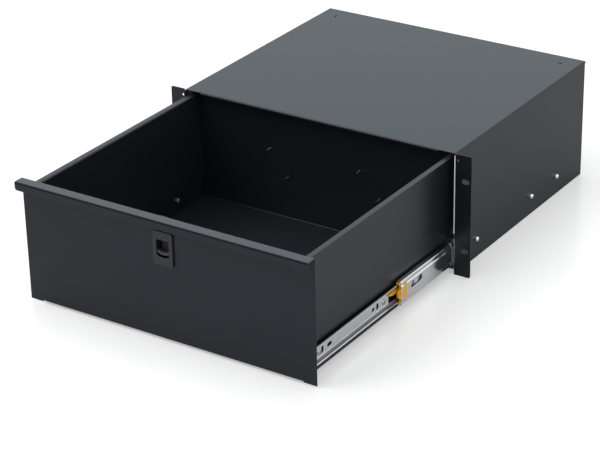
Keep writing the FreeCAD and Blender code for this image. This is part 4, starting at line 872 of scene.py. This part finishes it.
@dataclass
class Studio:
    """Pale floor, soft lamps and the camera.

    Attributes:
        camera_place: where the camera stands, in metres.
        camera_turn: the camera's rotation about X, Y and Z, in degrees.
        lens: focal length on a 36 mm wide sensor.
        floor_gap: floor below the object's lowest edge, in metres.
        floor_size: edge of the floor, in metres.
        floor_roughness: roughness of the floor's slight shine.
        floor_shine: specular level of the floor.
        floor_color: grey of the floor.
        mirrored_floor: grey of the floor as the object mirrors it.
        floor_glow: light that the floor adds for the camera, so that it stays white.
        room_level: brightness of the room's even light.
        mirrored_room: colour of the room as the object mirrors it.
        lamps: the soft lamps.
    """

    camera_place: tuple[float, float, float] = (1.46954, -2.25268, 1.23960)
    camera_turn: tuple[float, float, float] = (63.897, 1.0605, 33.1234)
    lens: float = 129.631
    floor_gap: float = 0.3 * MM
    floor_size: float = 14.0
    floor_roughness: float = 0.2
    floor_shine: float = 0.4
    floor_color: float = 0.80
    mirrored_floor: float = 0.66
    floor_glow: float = 0.36
    room_level: float = 0.54
    mirrored_room: tuple[float, float, float] = (1.0, 1.01, 1.03)
    lamps: tuple[Lamp, ...] = (
        Lamp("overhead", (-0.7, -0.4, 2.8), 2.6, 36.0),
        Lamp("key", (-1.7, -2.0, 2.4), 2.0, 22.0),
        Lamp("right", (2.4, -0.6, 1.4), 1.4, 9.0),
    )

    def build(self) -> None:
        """Sets up the floor, the lamps, the world and the camera."""
        self._add_floor()
        for lamp in self.lamps:
            lamp.add()
        self._set_world()
        self._add_camera()
        bpy.context.scene.view_settings.view_transform = "Standard"
        LOG.info("studio: floor, lamps and camera")

    def _add_floor(self) -> None:
        """Adds the white floor, which stays white to the camera outside the shadow."""
        low = CAD_BOUNDS[0][2] - self.floor_gap
        bpy.ops.object.select_all(action="DESELECT")
        bpy.ops.mesh.primitive_plane_add(size=self.floor_size, location=(0.0, 0.0, low))
        floor = bpy.context.view_layer.objects.active
        floor.name = "studio_floor"
        material = bpy.data.materials.new("studio floor")
        material.use_nodes = True
        tree = material.node_tree
        shader = tree.nodes["Principled BSDF"]
        shader.inputs["Roughness"].default_value = self.floor_roughness
        shader.inputs["Specular IOR Level"].default_value = self.floor_shine
        path = tree.nodes.new("ShaderNodeLightPath")
        color = tree.nodes.new("ShaderNodeMapRange")
        color.inputs["To Min"].default_value = self.floor_color
        color.inputs["To Max"].default_value = self.mirrored_floor
        tree.links.new(path.outputs["Is Glossy Ray"], color.inputs["Value"])
        tree.links.new(color.outputs["Result"], shader.inputs["Base Color"])
        glow = tree.nodes.new("ShaderNodeMath")
        glow.operation = "MULTIPLY"
        glow.inputs[1].default_value = self.floor_glow
        tree.links.new(path.outputs["Is Camera Ray"], glow.inputs[0])
        shader.inputs["Emission Color"].default_value = (1.0, 1.0, 1.0, 1.0)
        tree.links.new(glow.outputs["Value"], shader.inputs["Emission Strength"])
        floor.data.materials.append(material)

    def _seen(self, tree: bpy.types.NodeTree) -> bpy.types.NodeSocket:
        """Tells rays that are looked along from rays that only carry soft light.

        Args:
            tree: the world's node tree.

        Returns:
            A socket that is 1 for direct, mirrored and see-through rays, and 0 for the others.
        """
        path = tree.nodes.new("ShaderNodeLightPath")
        seen = path.outputs["Is Camera Ray"]
        for kind in ("Is Glossy Ray", "Is Transmission Ray"):
            either = tree.nodes.new("ShaderNodeMath")
            either.operation = "MAXIMUM"
            tree.links.new(seen, either.inputs[0])
            tree.links.new(path.outputs[kind], either.inputs[1])
            seen = either.outputs["Value"]
        return seen

    def _set_world(self) -> None:
        """Lights the room evenly and shows white to the camera."""
        world = bpy.data.worlds.new("studio")
        bpy.context.scene.world = world
        world.use_nodes = True
        tree = world.node_tree
        background = tree.nodes["Background"]
        path = tree.nodes.new("ShaderNodeLightPath")
        tint = tree.nodes.new("ShaderNodeMix")
        tint.data_type = "RGBA"
        plain, mirrored = (socket for socket in tint.inputs if socket.type == "RGBA")
        plain.default_value = (1.0, 1.0, 1.0, 1.0)
        mirrored.default_value = (*self.mirrored_room, 1.0)
        tree.links.new(path.outputs["Is Glossy Ray"], tint.inputs["Factor"])
        tree.links.new(tint.outputs[2], background.inputs["Color"])
        level = tree.nodes.new("ShaderNodeMapRange")
        level.inputs["To Min"].default_value = self.room_level
        level.inputs["To Max"].default_value = 1.0
        tree.links.new(self._seen(tree), level.inputs["Value"])
        tree.links.new(level.outputs["Result"], background.inputs["Strength"])

    def _add_camera(self) -> None:
        """Adds the camera, seen from the right and above."""
        data = bpy.data.cameras.new("camera")
        data.lens = self.lens
        data.sensor_width = 36.0
        data.clip_end = 50.0
        camera = bpy.data.objects.new("camera", data)
        camera.location = self.camera_place
        camera.rotation_euler = [math.radians(angle) for angle in self.camera_turn]
        bpy.context.scene.collection.objects.link(camera)
        bpy.context.scene.camera = camera


def main() -> None:
    """Builds and dresses the sub-assemblies in order."""
    logging.basicConfig(level=logging.INFO, format="%(message)s")
    Sleeve().build()
    for hand in Hand:
        TelescopicSlide(hand).build()
    Tray().build()
    SlamLatch().build()
    Studio().build()


if __name__ == "__main__":
    main()
